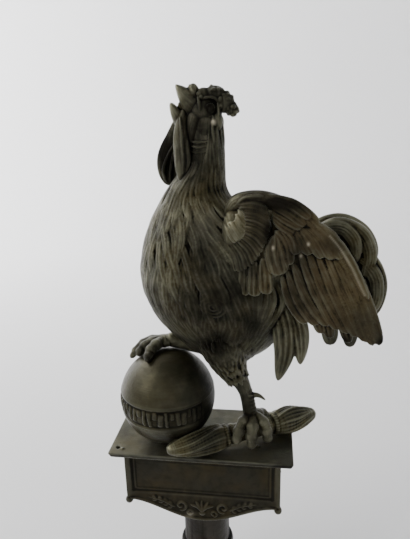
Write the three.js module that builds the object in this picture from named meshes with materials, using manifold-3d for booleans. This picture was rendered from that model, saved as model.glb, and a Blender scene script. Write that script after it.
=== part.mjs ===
// A cast-bronze flagpole finial. A crowing cock rests one foot on a globe and grips a thunderbolt with the
// other, on a plate that covers a hollow box over a pole socket. Millimetres, +Z up.
// The origin is the centre of the socket's mouth. The cock faces -X, and -Y is its left side.
import * as THREE from "three";
import { mergeVertices } from "three/addons/utils/BufferGeometryUtils.js";
import Module from "manifold-3d";

const wasm = await Module();
wasm.setup();

const CLEARANCE = 0.3; // between pieces that touch
const FINEST_EDGE = 0.01; // shorter edges are closed up when solids are joined

// Socket
const NECK_RADIUS = 17.5;
const SLEEVE_RADIUS = 18.4;
const MOUTH_RADIUS = 20;
const BORE_RADIUS = 15.2;
const BORE_DEPTH = 68;
const RING_RADIUS = 20.6;
const RING_HALF = 4.2;
const RING_LEVEL = 41.5; // middle of the upper ring

// Box
const BOX_HALF_WIDTH = 56.5;
const BOX_HALF_DEPTH = 22.5;
const BOX_TOP = 135.3;
const BOX_CORNER_LEVEL = 94; // underside at the corners
const APRON_DROP = 14.4; // how far the underside's middle hangs below its corners
const APRON_HALF = 52;
const BOX_WALL = 2.6;
const PANEL_HALF = 51.4;
const PANEL_LOW = 101.6;
const PANEL_HIGH = 131;
const PANEL_SUNK = 0.9;
const KNOB_RADIUS = 2.9;

// Top plate
const PLATE_HALF_WIDTH = 65;
const PLATE_HALF_DEPTH = 32;
const PLATE_TOP = 140;
const PLATE_THICKNESS = 4.4;
const PLATE_UNDERCUT = 1.7;
const SCREW_HOLE = new THREE.Vector2(-59, -24.6);
const SCREW_HOLE_RADIUS = 1.5;

// Globe
const GLOBE_RADIUS = 34;
const GLOBE_FLAT = 1;
const GLOBE = new THREE.Vector3(-25.2, -4.5, PLATE_TOP + CLEARANCE + GLOBE_RADIUS - GLOBE_FLAT);
const BAND_HALF = 7.5;

// Thunderbolt
const BOLT_LEVEL = PLATE_TOP + CLEARANCE + 9.9;
const BOLT_LEFT = new THREE.Vector3(-20.5, -38.2, BOLT_LEVEL);
const BOLT_RIGHT = new THREE.Vector3(82, 19, BOLT_LEVEL - 1.2);
const BOLT_RADIUS = 9.8;
const BOLT_WAIST_RADIUS = 6.6;
const BUNDLE_LENGTH = 43; // the left one, from its tip to its collar
const WAIST_LENGTH = 39;
const FLUTES = 8;
const FLAME_TWIST = 3.2; // radians along a bundle
const COLLAR_RADIUS = 8.3;
const COLLAR_PITCH = 5.4;

// Body and neck, from the vent to the head: height, breast, back and half width.
const BODY = [
  [206, 2, 35, 12],
  [209, -5, 42, 16],
  [215, -12, 49, 21],
  [227, -24, 57, 27],
  [239, -32.6, 65, 31],
  [253, -37.8, 69, 33],
  [267, -39.4, 65, 33],
  [284, -36.4, 57, 30],
  [300, -31, 38, 25],
  [310, -25.6, 25.4, 20],
  [320, -20, 17.4, 15.5],
  [335, -8, 17.2, 11.4],
  [345, -4.6, 16.8, 10],
  [365, -3, 17.6, 8.8],
];

// Tiers of feathers over the body, from the head down: where each starts, and how long its points are.
const TIERS = [
  [365, 9],
  [338, 10],
  [313, 10],
  [288, 9],
  [264, 8],
  [241, 5],
  [221, 1],
  [206, 0],
];
const LOCKS_AROUND = 15;
const LOCK_RELIEF = 0.065; // of the half width

// Wing, in side view. Each curve runs from the shoulder's side towards the leading edge or the tip.
const WING_LEADING = [
  [23, 311],
  [30, 320],
  [45, 322.6],
  [64, 316],
  [82, 300],
  [97, 278.6],
  [108, 256],
  [113.6, 234],
];
const FLIGHT_ROOTS = [[46, 266], [55, 286], [68, 302], [80, 299]];
const FLIGHT_TIPS = [[55, 253], [66, 247], [85, 241], [99, 237], [111.5, 233]];
const FLIGHT_FEATHERS = 10;
const HAND_ROOTS = [[42, 300], [54, 316], [74, 305]];
const HAND_TIPS = [[58, 286], [67, 289], [78, 288], [91, 286]];
const ARM_ROOTS = [[29, 282], [40, 296], [54, 310]];
const ARM_TIPS = [[31, 260.5], [42, 261.5], [53, 274]];
const LESSER_ROOTS = [[22, 306], [32, 316], [46, 319]];
const LESSER_TIPS = [[25, 278], [36, 280], [44, 293], [47.5, 308]];
const FAR_WING_DROP = 16; // the far wing is held lower and closer

const bronze = (color) => new THREE.MeshStandardMaterial({ color, roughness: 0.5, metalness: 0.85 });
const COCK_BRONZE = bronze(0x3b382c);
const GLOBE_BRONZE = bronze(0x474232);
const BOLT_BRONZE = bronze(0x3a3a2c);
const PLATE_BRONZE = bronze(0x35332a);
const BOX_BRONZE = bronze(0x302e22);
const SOCKET_BRONZE = bronze(0x38322b);

const { lerp, clamp } = THREE.MathUtils;
const vec = (x, y, z) => new THREE.Vector3(x, y, z);
const path = (points) => new THREE.CatmullRomCurve3(points.map((p) => vec(...p)));

// A closed geometry as a solid that can be joined and cut.
function solid(geometry) {
  const bare = geometry.clone();
  bare.deleteAttribute("normal");
  bare.deleteAttribute("uv");
  const merged = mergeVertices(bare, 1e-4);
  const at = merged.attributes.position;
  const corner = [vec(0, 0, 0), vec(0, 0, 0), vec(0, 0, 0)];
  const faces = [];
  let volume = 0;
  for (let i = 0; i < merged.index.count; i += 3) {
    const face = [0, 1, 2].map((k) => merged.index.getX(i + k));
    if (new Set(face).size < 3) continue;
    face.forEach((vertex, k) => corner[k].fromBufferAttribute(at, vertex));
    volume += corner[0].dot(corner[1].clone().cross(corner[2]));
    faces.push(face);
  }
  const triVerts = new Uint32Array(faces.flatMap((face) => (volume < 0 ? face.reverse() : face)));
  const mesh = new wasm.Mesh({ numProp: 3, vertProperties: at.array, triVerts, tolerance: FINEST_EDGE });
  return new wasm.Manifold(mesh);
}

const join = (solids) => solids.reduce((all, next) => all.add(next));

// Moves each vertex of a geometry to place(its old position).
function reshape(geometry, place) {
  const at = geometry.attributes.position;
  const old = vec(0, 0, 0);
  for (let i = 0; i < at.count; i++) {
    const p = place(old.fromBufferAttribute(at, i));
    at.setXYZ(i, p.x, p.y, p.z);
  }
  return geometry;
}

// A closed form along a curve. width and thick give its half sizes from 0 to 1 along it.
// Its ridge looks to `face`.
function blade(curve, width, thick, face, sides = 4, rings = 5) {
  const shape = new THREE.SphereGeometry(1, sides, rings);
  return solid(
    reshape(shape, (p) => {
      const t = Math.acos(clamp(p.y, -1, 1)) / Math.PI;
      const place = curve.getPoint(t);
      const round = Math.hypot(p.x, p.z);
      if (round < 1e-6) return place;
      const along = curve.getTangent(t);
      const out = face.clone().addScaledVector(along, -face.dot(along)).normalize();
      const across = out.clone().cross(along);
      place.addScaledVector(across, (p.x / round) * width(t));
      return place.addScaledVector(out, (p.z / round) * thick(t));
    }),
  );
}

// Half sizes along a blade: even with round ends, a leaf that is broadest at `widest`, or narrowing evenly.
const even = (half, sharpness = 6) => (t) => half * Math.sqrt(1 - Math.abs(2 * t - 1) ** sharpness);
const leaf = (half, widest = 0.55) => {
  const power = Math.log(0.5) / Math.log(widest);
  return (t) => half * Math.sin(Math.PI * t ** power);
};
const narrowing = (root, tip) => (t) => lerp(root, tip, t) * Math.sqrt(1 - (2 * t - 1) ** 8);

function ball(centre, size, sides = 10, rings = 7) {
  const shape = new THREE.SphereGeometry(1, sides, rings).rotateX(Math.PI / 2);
  return solid(shape.scale(...size).translate(...centre));
}

// A round limb through the points, with a radius for each point.
function limb(points, radii, sides = 7, rings = 8) {
  const radius = (t) => {
    const i = Math.min(Math.floor(t * (radii.length - 1)), radii.length - 2);
    return lerp(radii[i], radii[i + 1], t * (radii.length - 1) - i) * Math.sqrt(1 - (2 * t - 1) ** 12);
  };
  return blade(path(points), radius, radius, vec(0.02, -1, 0.03), sides, rings);
}

// The cock's body

function bodyAt(z) {
  const above = BODY.findIndex((section) => section[0] >= z);
  const i = above < 0 ? BODY.length - 1 : Math.max(above, 1);
  const share = clamp((z - BODY[i - 1][0]) / (BODY[i][0] - BODY[i - 1][0]), 0, 1);
  const [, front, back, half] = BODY[i].map((value, k) => lerp(BODY[i - 1][k], value, share));
  return { middle: (front + back) / 2, reach: (back - front) / 2, half };
}

// A point on the body's skin. Angle 0 looks along the back and a half turn along the breast.
function skin(z, angle, lift) {
  const { middle, reach, half } = bodyAt(z);
  return vec(middle + (reach + lift) * Math.cos(angle), (half + lift) * Math.sin(angle), z);
}

// The torso and neck as one closed form, with a pointed lock at every other corner of each tier's lower edge.
function torso() {
  const rows = 3 * (TIERS.length - 1);
  const shape = new THREE.CylinderGeometry(1, 1, 1, 2 * LOCKS_AROUND, rows);
  return solid(
    reshape(shape, (p) => {
      const row = Math.round((0.5 - p.y) * rows);
      const tier = Math.min(Math.floor(row / 3), TIERS.length - 2);
      const step = row - 3 * tier;
      const [top, point] = TIERS[tier];
      const bottom = TIERS[tier + 1][0];
      const angle = Math.atan2(p.x, p.z);
      const end = Math.hypot(p.x, p.z) < 1e-6;
      if (end) return vec(bodyAt(p.y > 0 ? top : bottom).middle, 0, p.y > 0 ? top : bottom);
      const column = Math.round((angle / Math.PI) * LOCKS_AROUND);
      const ridge = (column + tier) % 2 === 0 && step > 0 ? 1 : 0;
      const z = lerp(top, bottom, [0, 0.5, 1, 1][step]) - (step === 2 ? ridge * point : 0);
      const relief = [-0.6, 0.7 * ridge, 0.3 + 0.7 * ridge, 0][step];
      return skin(z, angle, relief * LOCK_RELIEF * bodyAt(z).half);
    }),
  );
}

// The head

// Rounded lobes of the comb and the skull: middle in side view, half length, half height and half thickness.
const LOBES = [
  [7, 368.5, 10.5, 11, 8.6],
  [-0.8, 378.6, 3.8, 6, 4],
  [5.6, 376.6, 6, 5.4, 5],
  [12.2, 377.4, 7, 5.6, 4.7],
  [18.3, 372.7, 6.2, 6.1, 5.3],
  [22.6, 369.2, 4, 4.2, 4],
];

const UPPER_BEAK = [[5, 0, 368], [-3.4, 0, 376], [-11.8, 0, 384.6]];
const LOWER_BEAK = [[3, 0, 358], [-9, 0, 362], [-15.4, 0, 374]];
const TONGUE = [[0, 0, 366], [-6, 0, 369], [-10.6, 0, 373.6]];
const THROAT = [[2, 0.5, 364], [-1.4, 0.5, 354], [-2.6, 0.5, 344], [-3, 0.5, 334]];
const WATTLES = [
  { side: -1, line: [[-6.5, -4, 368], [-9, -7.6, 352], [-9.4, -9, 338], [-10.6, -9, 322.6]] },
  { side: 1, line: [[-8, 3, 368], [-13, 5, 352], [-18.4, 6, 338], [-20, 6, 322]] },
];

function head() {
  const left = vec(0, -1, 0);
  const masses = LOBES.map(([x, z, long, high, wide]) => ball([x, 0, z], [long, wide, high], 8, 6));
  const beakWidth = even(4.4, 4);
  const upper = blade(path(UPPER_BEAK), narrowing(12, 0.6), beakWidth, left, 6, 5);
  const lower = blade(path(LOWER_BEAK), narrowing(8, 1), beakWidth, left, 6, 6);
  const tongue = blade(path(TONGUE), even(1.6), even(1.4), left, 4, 4);
  const throat = limb(THROAT, [6.2, 6.4, 6.8, 7], 7, 5);
  const wattles = WATTLES.map(({ side, line }) =>
    blade(path(line), narrowing(2.4, 8.8), even(2.6), vec(0, side, 0), 6, 7),
  );
  const sides = [-1, 1].flatMap((side) => [
    ball([12.5, 7.4 * side, 361], [3.4, 2.6, 5], 7, 5),
    ball([9, 8 * side, 370.5], [2.6, 1.8, 2.6], 7, 5),
  ]);
  return [...masses, upper, lower, tongue, throat, ...wattles, ...sides];
}

// The wings

function wingPoint(side, x, z, lift) {
  if (side > 0) return vec(x - 3, 25 + 0.12 * (x - 27) + lift, z - FAR_WING_DROP);
  return vec(x, -(27 + 0.36 * (x - 27) - 0.0023 * (x - 27) ** 2 + lift), z);
}

const inSideView = (points) => path(points.map(([x, z]) => [x, 0, z]));

// A row of feathers side by side as one closed sheet: ridged along each shaft, with a rounded tip on each.
function fan(side, roots, tips, count, shape) {
  const { lift = 0, thick, relief = 1.3, bow = 0, point = 2.2, steps = 4 } = shape;
  const [from, to] = [inSideView(roots), inSideView(tips)];
  return solid(
    reshape(new THREE.BoxGeometry(1, 1, 1, steps, 1, 2 * count), (p) => {
      const u = p.x + 0.5;
      const v = p.z + 0.5;
      const ridge = Math.round(v * 2 * count) % 2;
      const tip = to.getPoint(v);
      const away = tip.clone().sub(from.getPoint(v));
      const long = away.length();
      const reach = u * (1 + (ridge * u * point) / long);
      const place = from.getPoint(v).addScaledVector(away, reach);
      const bowing = (bow * v * Math.sin(Math.PI * u)) / long;
      place.add(vec(-away.z, 0, away.x).multiplyScalar(bowing));
      const height = p.y < 0 ? -thick : ridge * relief - (u === 0 ? 1.2 : 0);
      return wingPoint(side, place.x, place.z, lift + height);
    }),
  );
}

function wing(side) {
  const flightFeathers = side < 0 ? FLIGHT_FEATHERS : FLIGHT_FEATHERS - 3;
  const rim = WING_LEADING.map(([x, z]) => wingPoint(side, x - 2.4, z - 4.4, -2).toArray());
  const shoulder = wingPoint(side, 31, 297, -5).toArray();
  return [
    limb(rim, [5, 5.6, 5.4, 4.6, 3.8, 3.2, 2.8, 1.6], 6, 9),
    ball(shoulder, [18, 8, 22], 9, 7),
    fan(side, FLIGHT_ROOTS, FLIGHT_TIPS, flightFeathers, { thick: 3.6, bow: 8, point: 1.6 }),
    fan(side, HAND_ROOTS, HAND_TIPS, 4, { lift: 2.4, thick: 5, bow: 2, steps: 3 }),
    fan(side, ARM_ROOTS, ARM_TIPS, 3, { lift: 3.2, thick: 6, relief: 2.2, point: 3, steps: 3 }),
    fan(side, LESSER_ROOTS, LESSER_TIPS, 5, { lift: 5, thick: 7, relief: 1.6, steps: 3 }),
  ];
}

// The tail

// Each sickle: its place across the tail, its half width and the points of its arch from root to tip.
const SICKLES = [
  [0, 6.6, [[60, 266], [72, 292], [88, 298.5], [103, 292], [109.6, 279], [107, 266]]],
  [4.5, 6.4, [[60, 262], [74, 282], [88, 287], [97, 279], [99, 266]]],
  [2.5, 7, [[60, 262], [84, 279], [104.6, 277], [114, 262], [113.4, 238]]],
  [6, 7, [[60, 256], [84, 269], [98, 264], [105, 251], [105, 234]]],
  [3, 4.8, [[60, 250], [80, 262], [93, 250], [99, 230], [101, 213]]],
  [7, 4.6, [[58, 246], [74, 252], [82, 240], [86, 228], [87.5, 216]]],
];

function tail() {
  const core = [
    ball([60, 0, 258], [24, 17.3, 25], 9, 6),
    ball([86, 0, 271], [21, 7.2, 21.5], 9, 6),
    ball([99, 0, 254], [13, 6.1, 24], 8, 6),
  ];
  const feathers = SICKLES.flatMap(([across, half, arch]) =>
    (across === 0 ? [1] : [-1, 1]).map((side) => {
      const points = arch.map(([x, z], i) => [x, side * (across + 0.8 * i), z]);
      return blade(path(points), leaf(half, 0.55), even(3), vec(0, side, 0), 4, 7);
    }),
  );
  return [...core, ...feathers];
}

// Long feathers that hang behind the thigh: half width and line in side view.
const HANGING = [
  [8.4, [[48.6, 262.6], [55.5, 240], [56.6, 217], [53.2, 196]]],
  [6.6, [[54, 258], [63.6, 240], [66, 224], [68.4, 208]]],
  [6, [[36, 268], [42, 248], [43, 236], [42, 224]]],
];

function hanging(side) {
  return HANGING.map(([half, line], i) => {
    const points = line.map(([x, z]) => [x, side * (19 - 2 * i), z]);
    return blade(path(points), leaf(half, 0.6), even(3.4), vec(0.2, side, 0), 4, 6);
  });
}

// The legs

const toe = (points) => limb(points, [3.8, 3.6, 3.2, 2.2], 5, 5);

function claw(...points) {
  return blade(path(points), narrowing(2.6, 0.6), narrowing(2.6, 0.6), vec(0.1, -1, 0.1), 4, 4);
}

function standingLeg() {
  const foot = [34.5, -12, 164.5];
  const line = [
    [12, -12, 232],
    [17, -14, 217],
    [20.4, -13.6, 205],
    [24.4, -13, 196.4],
    [28.6, -12.4, 189.6],
    [31.4, -12, 182],
    [33, -12, 174],
    [34.5, -12, 163],
  ];
  return [
    limb(line, [17, 15.4, 11.6, 7.8, 5.6, 4.6, 4.5, 5.4], 8, 12),
    claw([33, -12, 179.6], [40, -12, 180], [45.4, -12, 176.4]),
    toe([foot, [31.5, -22, 159.5], [31.5, -24.5, 151], [32.5, -22.5, 143]]),
    toe([foot, [41, -17, 160.5], [43, -19, 152], [44, -17, 145]]),
    toe([foot, [26, -18, 161.5], [22.6, -25, 155], [21.6, -25.6, 148]]),
    toe([foot, [40, -6, 161.5], [43.6, 0, 158], [45.6, 4, 152.5]]),
  ];
}

function raisedLeg() {
  const palm = [-28, 4, 211.4];
  const thigh = [[8, 11, 234], [14, 12.4, 222], [16, 12, 213], [13, 10, 206]];
  const shank = [[14, 10, 206.4], [1, 7, 205.6], [-13, 5.6, 209], [-27, 4.4, 213.6]];
  return [
    limb(thigh, [17, 13.6, 9.4, 6], 8, 7),
    limb(shank, [6, 4.8, 4.7, 5.6], 8, 6),
    ball(palm, [7.4, 6.4, 4.6], 8, 5),
    toe([palm, [-32.6, -4, 211.4], [-35.6, -10, 208.6], [-35.4, -18.4, 205.2]]),
    toe([palm, [-36.6, 1, 211], [-42.4, -1.8, 207.8], [-45.4, -7.4, 203.8]]),
    toe([palm, [-38, 6, 210.2], [-46, 5, 206], [-53.4, 1, 197.6]]),
    toe([palm, [-21, 9.6, 211.4], [-15, 15, 208], [-10, 20, 201]]),
  ];
}

// The thunderbolt

function boltPart(start, end, radius, sides, rows) {
  const axis = end.clone().sub(start);
  const turn = new THREE.Quaternion().setFromUnitVectors(vec(0, 1, 0), axis.clone().normalize());
  const shape = new THREE.CylinderGeometry(1, 1, 1, sides, rows);
  return solid(
    reshape(shape, (p) => {
      const t = p.y + 0.5;
      const angle = Math.atan2(p.z, p.x);
      const reach = Math.hypot(p.x, p.z) < 1e-6 ? 0 : radius(t, angle);
      const place = vec(reach * Math.cos(angle), t * axis.length(), reach * Math.sin(angle));
      return place.applyQuaternion(turn).add(start);
    }),
  );
}

// Half of the bolt: a spindle of flames with twisted flutes, and the collars at its foot.
// grow widens it all round.
function bundle(tip, middle, length, grow) {
  const axis = middle.clone().sub(tip).normalize();
  const at = (distance) => tip.clone().addScaledVector(axis, distance);
  const swell = (t) => BOLT_RADIUS * Math.sin(Math.PI * (0.06 + 0.62 * t)) ** 0.7;
  const flames = (t, angle) => {
    const flute = 0.07 * Math.cos(FLUTES * angle + FLAME_TWIST * t) * Math.sin(Math.PI * t) ** 0.4;
    return swell(t) * (0.93 + flute) + grow;
  };
  const spindle = boltPart(at(-grow), at(length), flames, 2 * FLUTES, 6);
  const collars = [0, COLLAR_PITCH].map((step) => {
    const [near, far] = [length + step - 1.6 - grow, length + step + 2.2 + grow];
    return boltPart(at(near), at(far), () => COLLAR_RADIUS - step * 0.14 + grow, 12, 1);
  });
  return [spindle, ...collars];
}

function bolt(grow = 0) {
  const middle = BOLT_LEFT.clone().lerp(BOLT_RIGHT, 0.5);
  const length = BOLT_LEFT.distanceTo(BOLT_RIGHT);
  const waist = boltPart(
    BOLT_LEFT.clone().lerp(BOLT_RIGHT, 0.3),
    BOLT_LEFT.clone().lerp(BOLT_RIGHT, 0.74),
    () => BOLT_WAIST_RADIUS + grow,
    12,
    1,
  );
  const left = bundle(BOLT_LEFT, middle, BUNDLE_LENGTH, grow);
  const right = bundle(BOLT_RIGHT, middle, length - BUNDLE_LENGTH - WAIST_LENGTH, grow);
  return join([waist, ...left, ...right]);
}

// The globe

function globe(grow = 0, sides = 28, rings = 16) {
  const shape = new THREE.SphereGeometry(GLOBE_RADIUS + grow, sides, rings).rotateX(Math.PI / 2);
  const sphere = solid(shape.translate(GLOBE.x, GLOBE.y, GLOBE.z));
  if (grow > 0) return sphere;
  return sphere.subtract(slab(PLATE_TOP - 20, PLATE_TOP + CLEARANCE));
}

// Everything between two levels, wide enough to cut any piece.
function slab(low, high) {
  return solid(new THREE.BoxGeometry(400, 400, high - low).translate(0, 0, (low + high) / 2));
}

function bandLine() {
  const radius = Math.sqrt(GLOBE_RADIUS ** 2 - BAND_HALF ** 2);
  const [inside, outside, half] = [radius - 2, radius + 0.5, 0.7];
  const profile = [[inside, -half], [outside, -half], [outside - 0.1, half], [inside, half], [inside, -half]];
  const points = profile.map(([x, y]) => new THREE.Vector2(x, y));
  const ring = new THREE.LatheGeometry(points, 28).rotateX(Math.PI / 2);
  return solid(ring.translate(GLOBE.x, GLOBE.y, GLOBE.z + BAND_HALF));
}

// Shallow strokes in two rows round the front of the band.
function bandStrokes() {
  const strokes = [];
  for (let i = 0; i < 20; i++) {
    const angle = Math.PI + 0.32 + i * 0.125;
    const low = i % 3 === 1;
    const height = low ? 4.4 : 9.5 - (i % 4);
    const middle = GLOBE.z + (low ? 2.6 : 0) - (i % 2) * 0.6;
    const bar = new THREE.BoxGeometry(4, 1.5, height).translate(GLOBE_RADIUS + 0.7, 0, 0).rotateZ(angle);
    strokes.push(solid(bar.translate(GLOBE.x, GLOBE.y, middle)));
  }
  return strokes;
}

// The plate

function plate() {
  const outline = new THREE.Shape();
  outline.moveTo(-PLATE_HALF_WIDTH, -PLATE_HALF_DEPTH);
  outline.lineTo(PLATE_HALF_WIDTH, -PLATE_HALF_DEPTH);
  outline.lineTo(PLATE_HALF_WIDTH, PLATE_HALF_DEPTH);
  outline.lineTo(-PLATE_HALF_WIDTH, PLATE_HALF_DEPTH);
  outline.closePath();
  for (const end of [-1, 1]) {
    const hole = new THREE.Path();
    hole.absarc(-end * SCREW_HOLE.x, -end * SCREW_HOLE.y, SCREW_HOLE_RADIUS, 0, 2 * Math.PI, true);
    outline.holes.push(hole);
  }
  const bottom = PLATE_TOP - PLATE_THICKNESS;
  const options = { depth: PLATE_THICKNESS, bevelEnabled: false, curveSegments: 6 };
  const atEdge = (value, half) => Math.abs(value) > half - 0.1;
  const drawnIn = (value, half) => value - (atEdge(value, half) ? Math.sign(value) * PLATE_UNDERCUT : 0);
  const shape = reshape(new THREE.ExtrudeGeometry(outline, options), (p) => {
    if (p.z > 0.1) return vec(p.x, p.y, p.z + bottom);
    return vec(drawnIn(p.x, PLATE_HALF_WIDTH), drawnIn(p.y, PLATE_HALF_DEPTH), bottom);
  });
  return solid(shape).add(ball([40, -13.5, PLATE_TOP], [1.3, 1.3, 1.2], 6, 4));
}

// The box

function underside(x) {
  if (Math.abs(x) >= APRON_HALF) return BOX_CORNER_LEVEL;
  return BOX_CORNER_LEVEL - APRON_DROP * ((1 + Math.cos((Math.PI * x) / APRON_HALF)) / 2) ** 0.85;
}

// The box's front outline as an upright slice from y = near to y = far. inset draws in its sides and base.
function boxSlice(inset, top, near, far, steps = 20) {
  const half = BOX_HALF_WIDTH - inset;
  const outline = new THREE.Shape();
  outline.moveTo(-half, top);
  for (let i = 0; i <= steps; i++) {
    const x = lerp(-half, half, i / steps);
    outline.lineTo(x, underside(x) + inset);
  }
  outline.lineTo(half, top);
  outline.closePath();
  const shape = new THREE.ExtrudeGeometry(outline, { depth: far - near, bevelEnabled: false });
  return solid(shape.rotateX(Math.PI / 2).translate(0, far, 0));
}

// A scroll of relief on the apron: a ribbon that winds in to its eye.
function scroll(x, z, radius, hand) {
  const points = [];
  for (let i = 0; i <= 7; i++) {
    const t = i / 7;
    const angle = Math.PI * (0.4 + 2.1 * t);
    const reach = lerp(radius, 1.2, t);
    points.push([x + hand * reach * Math.cos(angle), -BOX_HALF_DEPTH - 0.1, z - reach * Math.sin(angle)]);
  }
  return blade(path(points), even(0.95), even(0.9), vec(0, -1, 0), 4, 8);
}

function apronRelief() {
  const y = -BOX_HALF_DEPTH - 0.1;
  const face = vec(0, -1, 0);
  const leaves = [-2, -1, 0, 1, 2].map((i) => {
    const lean = i * 0.5;
    const tip = [10 * Math.sin(lean), y, 88 + 9.5 * Math.cos(lean)];
    return blade(path([[0, y, 87], tip]), leaf(1.7), even(1), face, 4, 3);
  });
  const scrolls = [-1, 1].flatMap((hand) => {
    const spray = path([[hand * 20, y, 90], [hand * 28, y, 95], [hand * 40, y, 97.4]]);
    return [scroll(hand * 15.5, 92, 4.6, hand), blade(spray, leaf(1.7, 0.4), even(0.9), face, 4, 5)];
  });
  return [...leaves, ...scrolls];
}

function box() {
  const outer = boxSlice(0, BOX_TOP, -BOX_HALF_DEPTH, BOX_HALF_DEPTH);
  const inner = boxSlice(BOX_WALL, BOX_TOP + 1, -BOX_HALF_DEPTH + BOX_WALL, BOX_HALF_DEPTH - BOX_WALL);
  let shape = outer.subtract(inner);
  for (const side of [-1, 1]) {
    const panel = new THREE.BoxGeometry(2 * PANEL_HALF, 2 * PANEL_SUNK, PANEL_HIGH - PANEL_LOW);
    shape = shape.subtract(solid(panel.translate(0, side * BOX_HALF_DEPTH, (PANEL_HIGH + PANEL_LOW) / 2)));
    const rim = [-1, -0.6, -0.2, 0.2, 0.6, 1].map((u) => {
      const x = u * (BOX_HALF_WIDTH - 2);
      return [x, side * BOX_HALF_DEPTH, underside(x) + 1.1];
    });
    const bead = blade(path(rim), even(1.1, 20), even(0.9, 20), vec(0, side, 0), 4, 14);
    shape = side < 0 ? join([shape, bead, ...apronRelief()]) : shape.add(bead);
    for (const end of [-1, 1]) {
      const knob = [end * (BOX_HALF_WIDTH - 1.5), side * (BOX_HALF_DEPTH - 1.5), BOX_CORNER_LEVEL - 1.4];
      shape = shape.add(ball(knob, [KNOB_RADIUS, KNOB_RADIUS, KNOB_RADIUS], 8, 6));
    }
  }
  return shape;
}

// The socket

function socket() {
  const top = BOX_CORNER_LEVEL - 6;
  const ring = [-1, -0.5, 0, 0.5, 1].map((u) => [
    lerp(NECK_RADIUS, RING_RADIUS, Math.sqrt(1 - u * u)),
    RING_LEVEL + u * RING_HALF,
  ]);
  const profile = [
    [0, BORE_DEPTH],
    [BORE_RADIUS, BORE_DEPTH],
    [BORE_RADIUS, 0],
    [MOUTH_RADIUS, 0],
    [MOUTH_RADIUS, 4],
    [SLEEVE_RADIUS, 5.6],
    [SLEEVE_RADIUS, RING_LEVEL - RING_HALF - 0.5],
    ...ring,
    [NECK_RADIUS, top],
    [0, top],
  ];
  const points = profile.map(([x, y]) => new THREE.Vector2(x, y));
  return solid(new THREE.LatheGeometry(points, 28).rotateX(Math.PI / 2));
}

// The whole

const cutter = join([globe(CLEARANCE), bolt(CLEARANCE)]);
const plateCutter = slab(PLATE_TOP - 30, PLATE_TOP + CLEARANCE);
const cock = join([
  torso(),
  ...head(),
  ...wing(-1),
  ...wing(1),
  ...tail(),
  ...hanging(-1),
  ...hanging(1),
  ...standingLeg(),
  ...raisedLeg(),
]);
const engravedGlobe = bandStrokes().reduce((rest, stroke) => rest.subtract(stroke), globe().add(bandLine()));
const boxShape = box();
const underBox = boxSlice(-CLEARANCE, BOX_TOP, -BOX_HALF_DEPTH - 1, BOX_HALF_DEPTH + 1);

// The corner numbers of the largest shell of a mesh, without the specks that feathers close in between them.
function outerShell(corners) {
  const shell = Array.from({ length: Math.max(...corners) + 1 }, (_, i) => i);
  const root = (i) => {
    while (shell[i] !== i) i = shell[i];
    return i;
  };
  for (let i = 0; i < corners.length; i += 3) {
    shell[root(corners[i + 1])] = root(corners[i]);
    shell[root(corners[i + 2])] = root(corners[i]);
  }
  const sizes = new Map();
  corners.forEach((corner) => sizes.set(root(corner), (sizes.get(root(corner)) ?? 0) + 1));
  const largest = [...sizes].sort((a, b) => b[1] - a[1])[0][0];
  return corners.filter((corner) => root(corner) === largest);
}

function piece(name, shape, material) {
  const made = shape.getMesh();
  const geometry = new THREE.BufferGeometry();
  geometry.setAttribute("position", new THREE.BufferAttribute(new Float32Array(made.vertProperties), 3));
  geometry.setIndex(outerShell([...made.triVerts]));
  geometry.computeVertexNormals();
  const mesh = new THREE.Mesh(geometry, material);
  mesh.name = name;
  return mesh;
}

const group = new THREE.Group();
group.add(
  piece("rooster", cock.subtract(cutter).subtract(plateCutter), COCK_BRONZE),
  piece("globe", engravedGlobe, GLOBE_BRONZE),
  piece("thunderbolt", bolt().subtract(globe(CLEARANCE)).subtract(plateCutter), BOLT_BRONZE),
  piece("top_plate", plate(), PLATE_BRONZE),
  piece("box", boxShape, BOX_BRONZE),
  piece("socket", socket().subtract(underBox), SOCKET_BRONZE),
);
export default group;
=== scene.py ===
"""A cast-bronze flagpole finial: a crowing cock on a globe and a thunderbolt, over a box with a pole socket.

The making is in millimetres, and each finished mesh is brought to metres. The cock faces -X, and -Y is its
left side.
"""

import math

import bmesh
import bpy
import numpy as np
from mathutils import Matrix, Vector
from mathutils.kdtree import KDTree


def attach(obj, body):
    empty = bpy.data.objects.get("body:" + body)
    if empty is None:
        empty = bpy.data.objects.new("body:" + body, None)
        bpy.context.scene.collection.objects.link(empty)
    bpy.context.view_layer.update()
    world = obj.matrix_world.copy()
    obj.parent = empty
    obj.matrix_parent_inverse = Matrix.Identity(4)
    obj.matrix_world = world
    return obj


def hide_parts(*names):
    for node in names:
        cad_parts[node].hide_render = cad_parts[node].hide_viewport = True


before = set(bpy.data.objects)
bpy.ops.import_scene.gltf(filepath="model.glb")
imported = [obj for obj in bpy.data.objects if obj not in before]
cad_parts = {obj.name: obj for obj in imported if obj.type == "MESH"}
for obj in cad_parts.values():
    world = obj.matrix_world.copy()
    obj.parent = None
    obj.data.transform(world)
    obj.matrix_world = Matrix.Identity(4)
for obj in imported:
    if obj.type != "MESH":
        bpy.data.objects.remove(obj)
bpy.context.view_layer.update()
chance = np.random.default_rng(11)

MM = 0.001

# Socket
NECK_RADIUS = 17.5
SLEEVE_RADIUS = 18.4
MOUTH_RADIUS = 20
BORE_RADIUS = 15.2
BORE_DEPTH = 68
RING_RADIUS = 20.6
RING_HALF = 4.2
RING_LEVEL = 41.5

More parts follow.
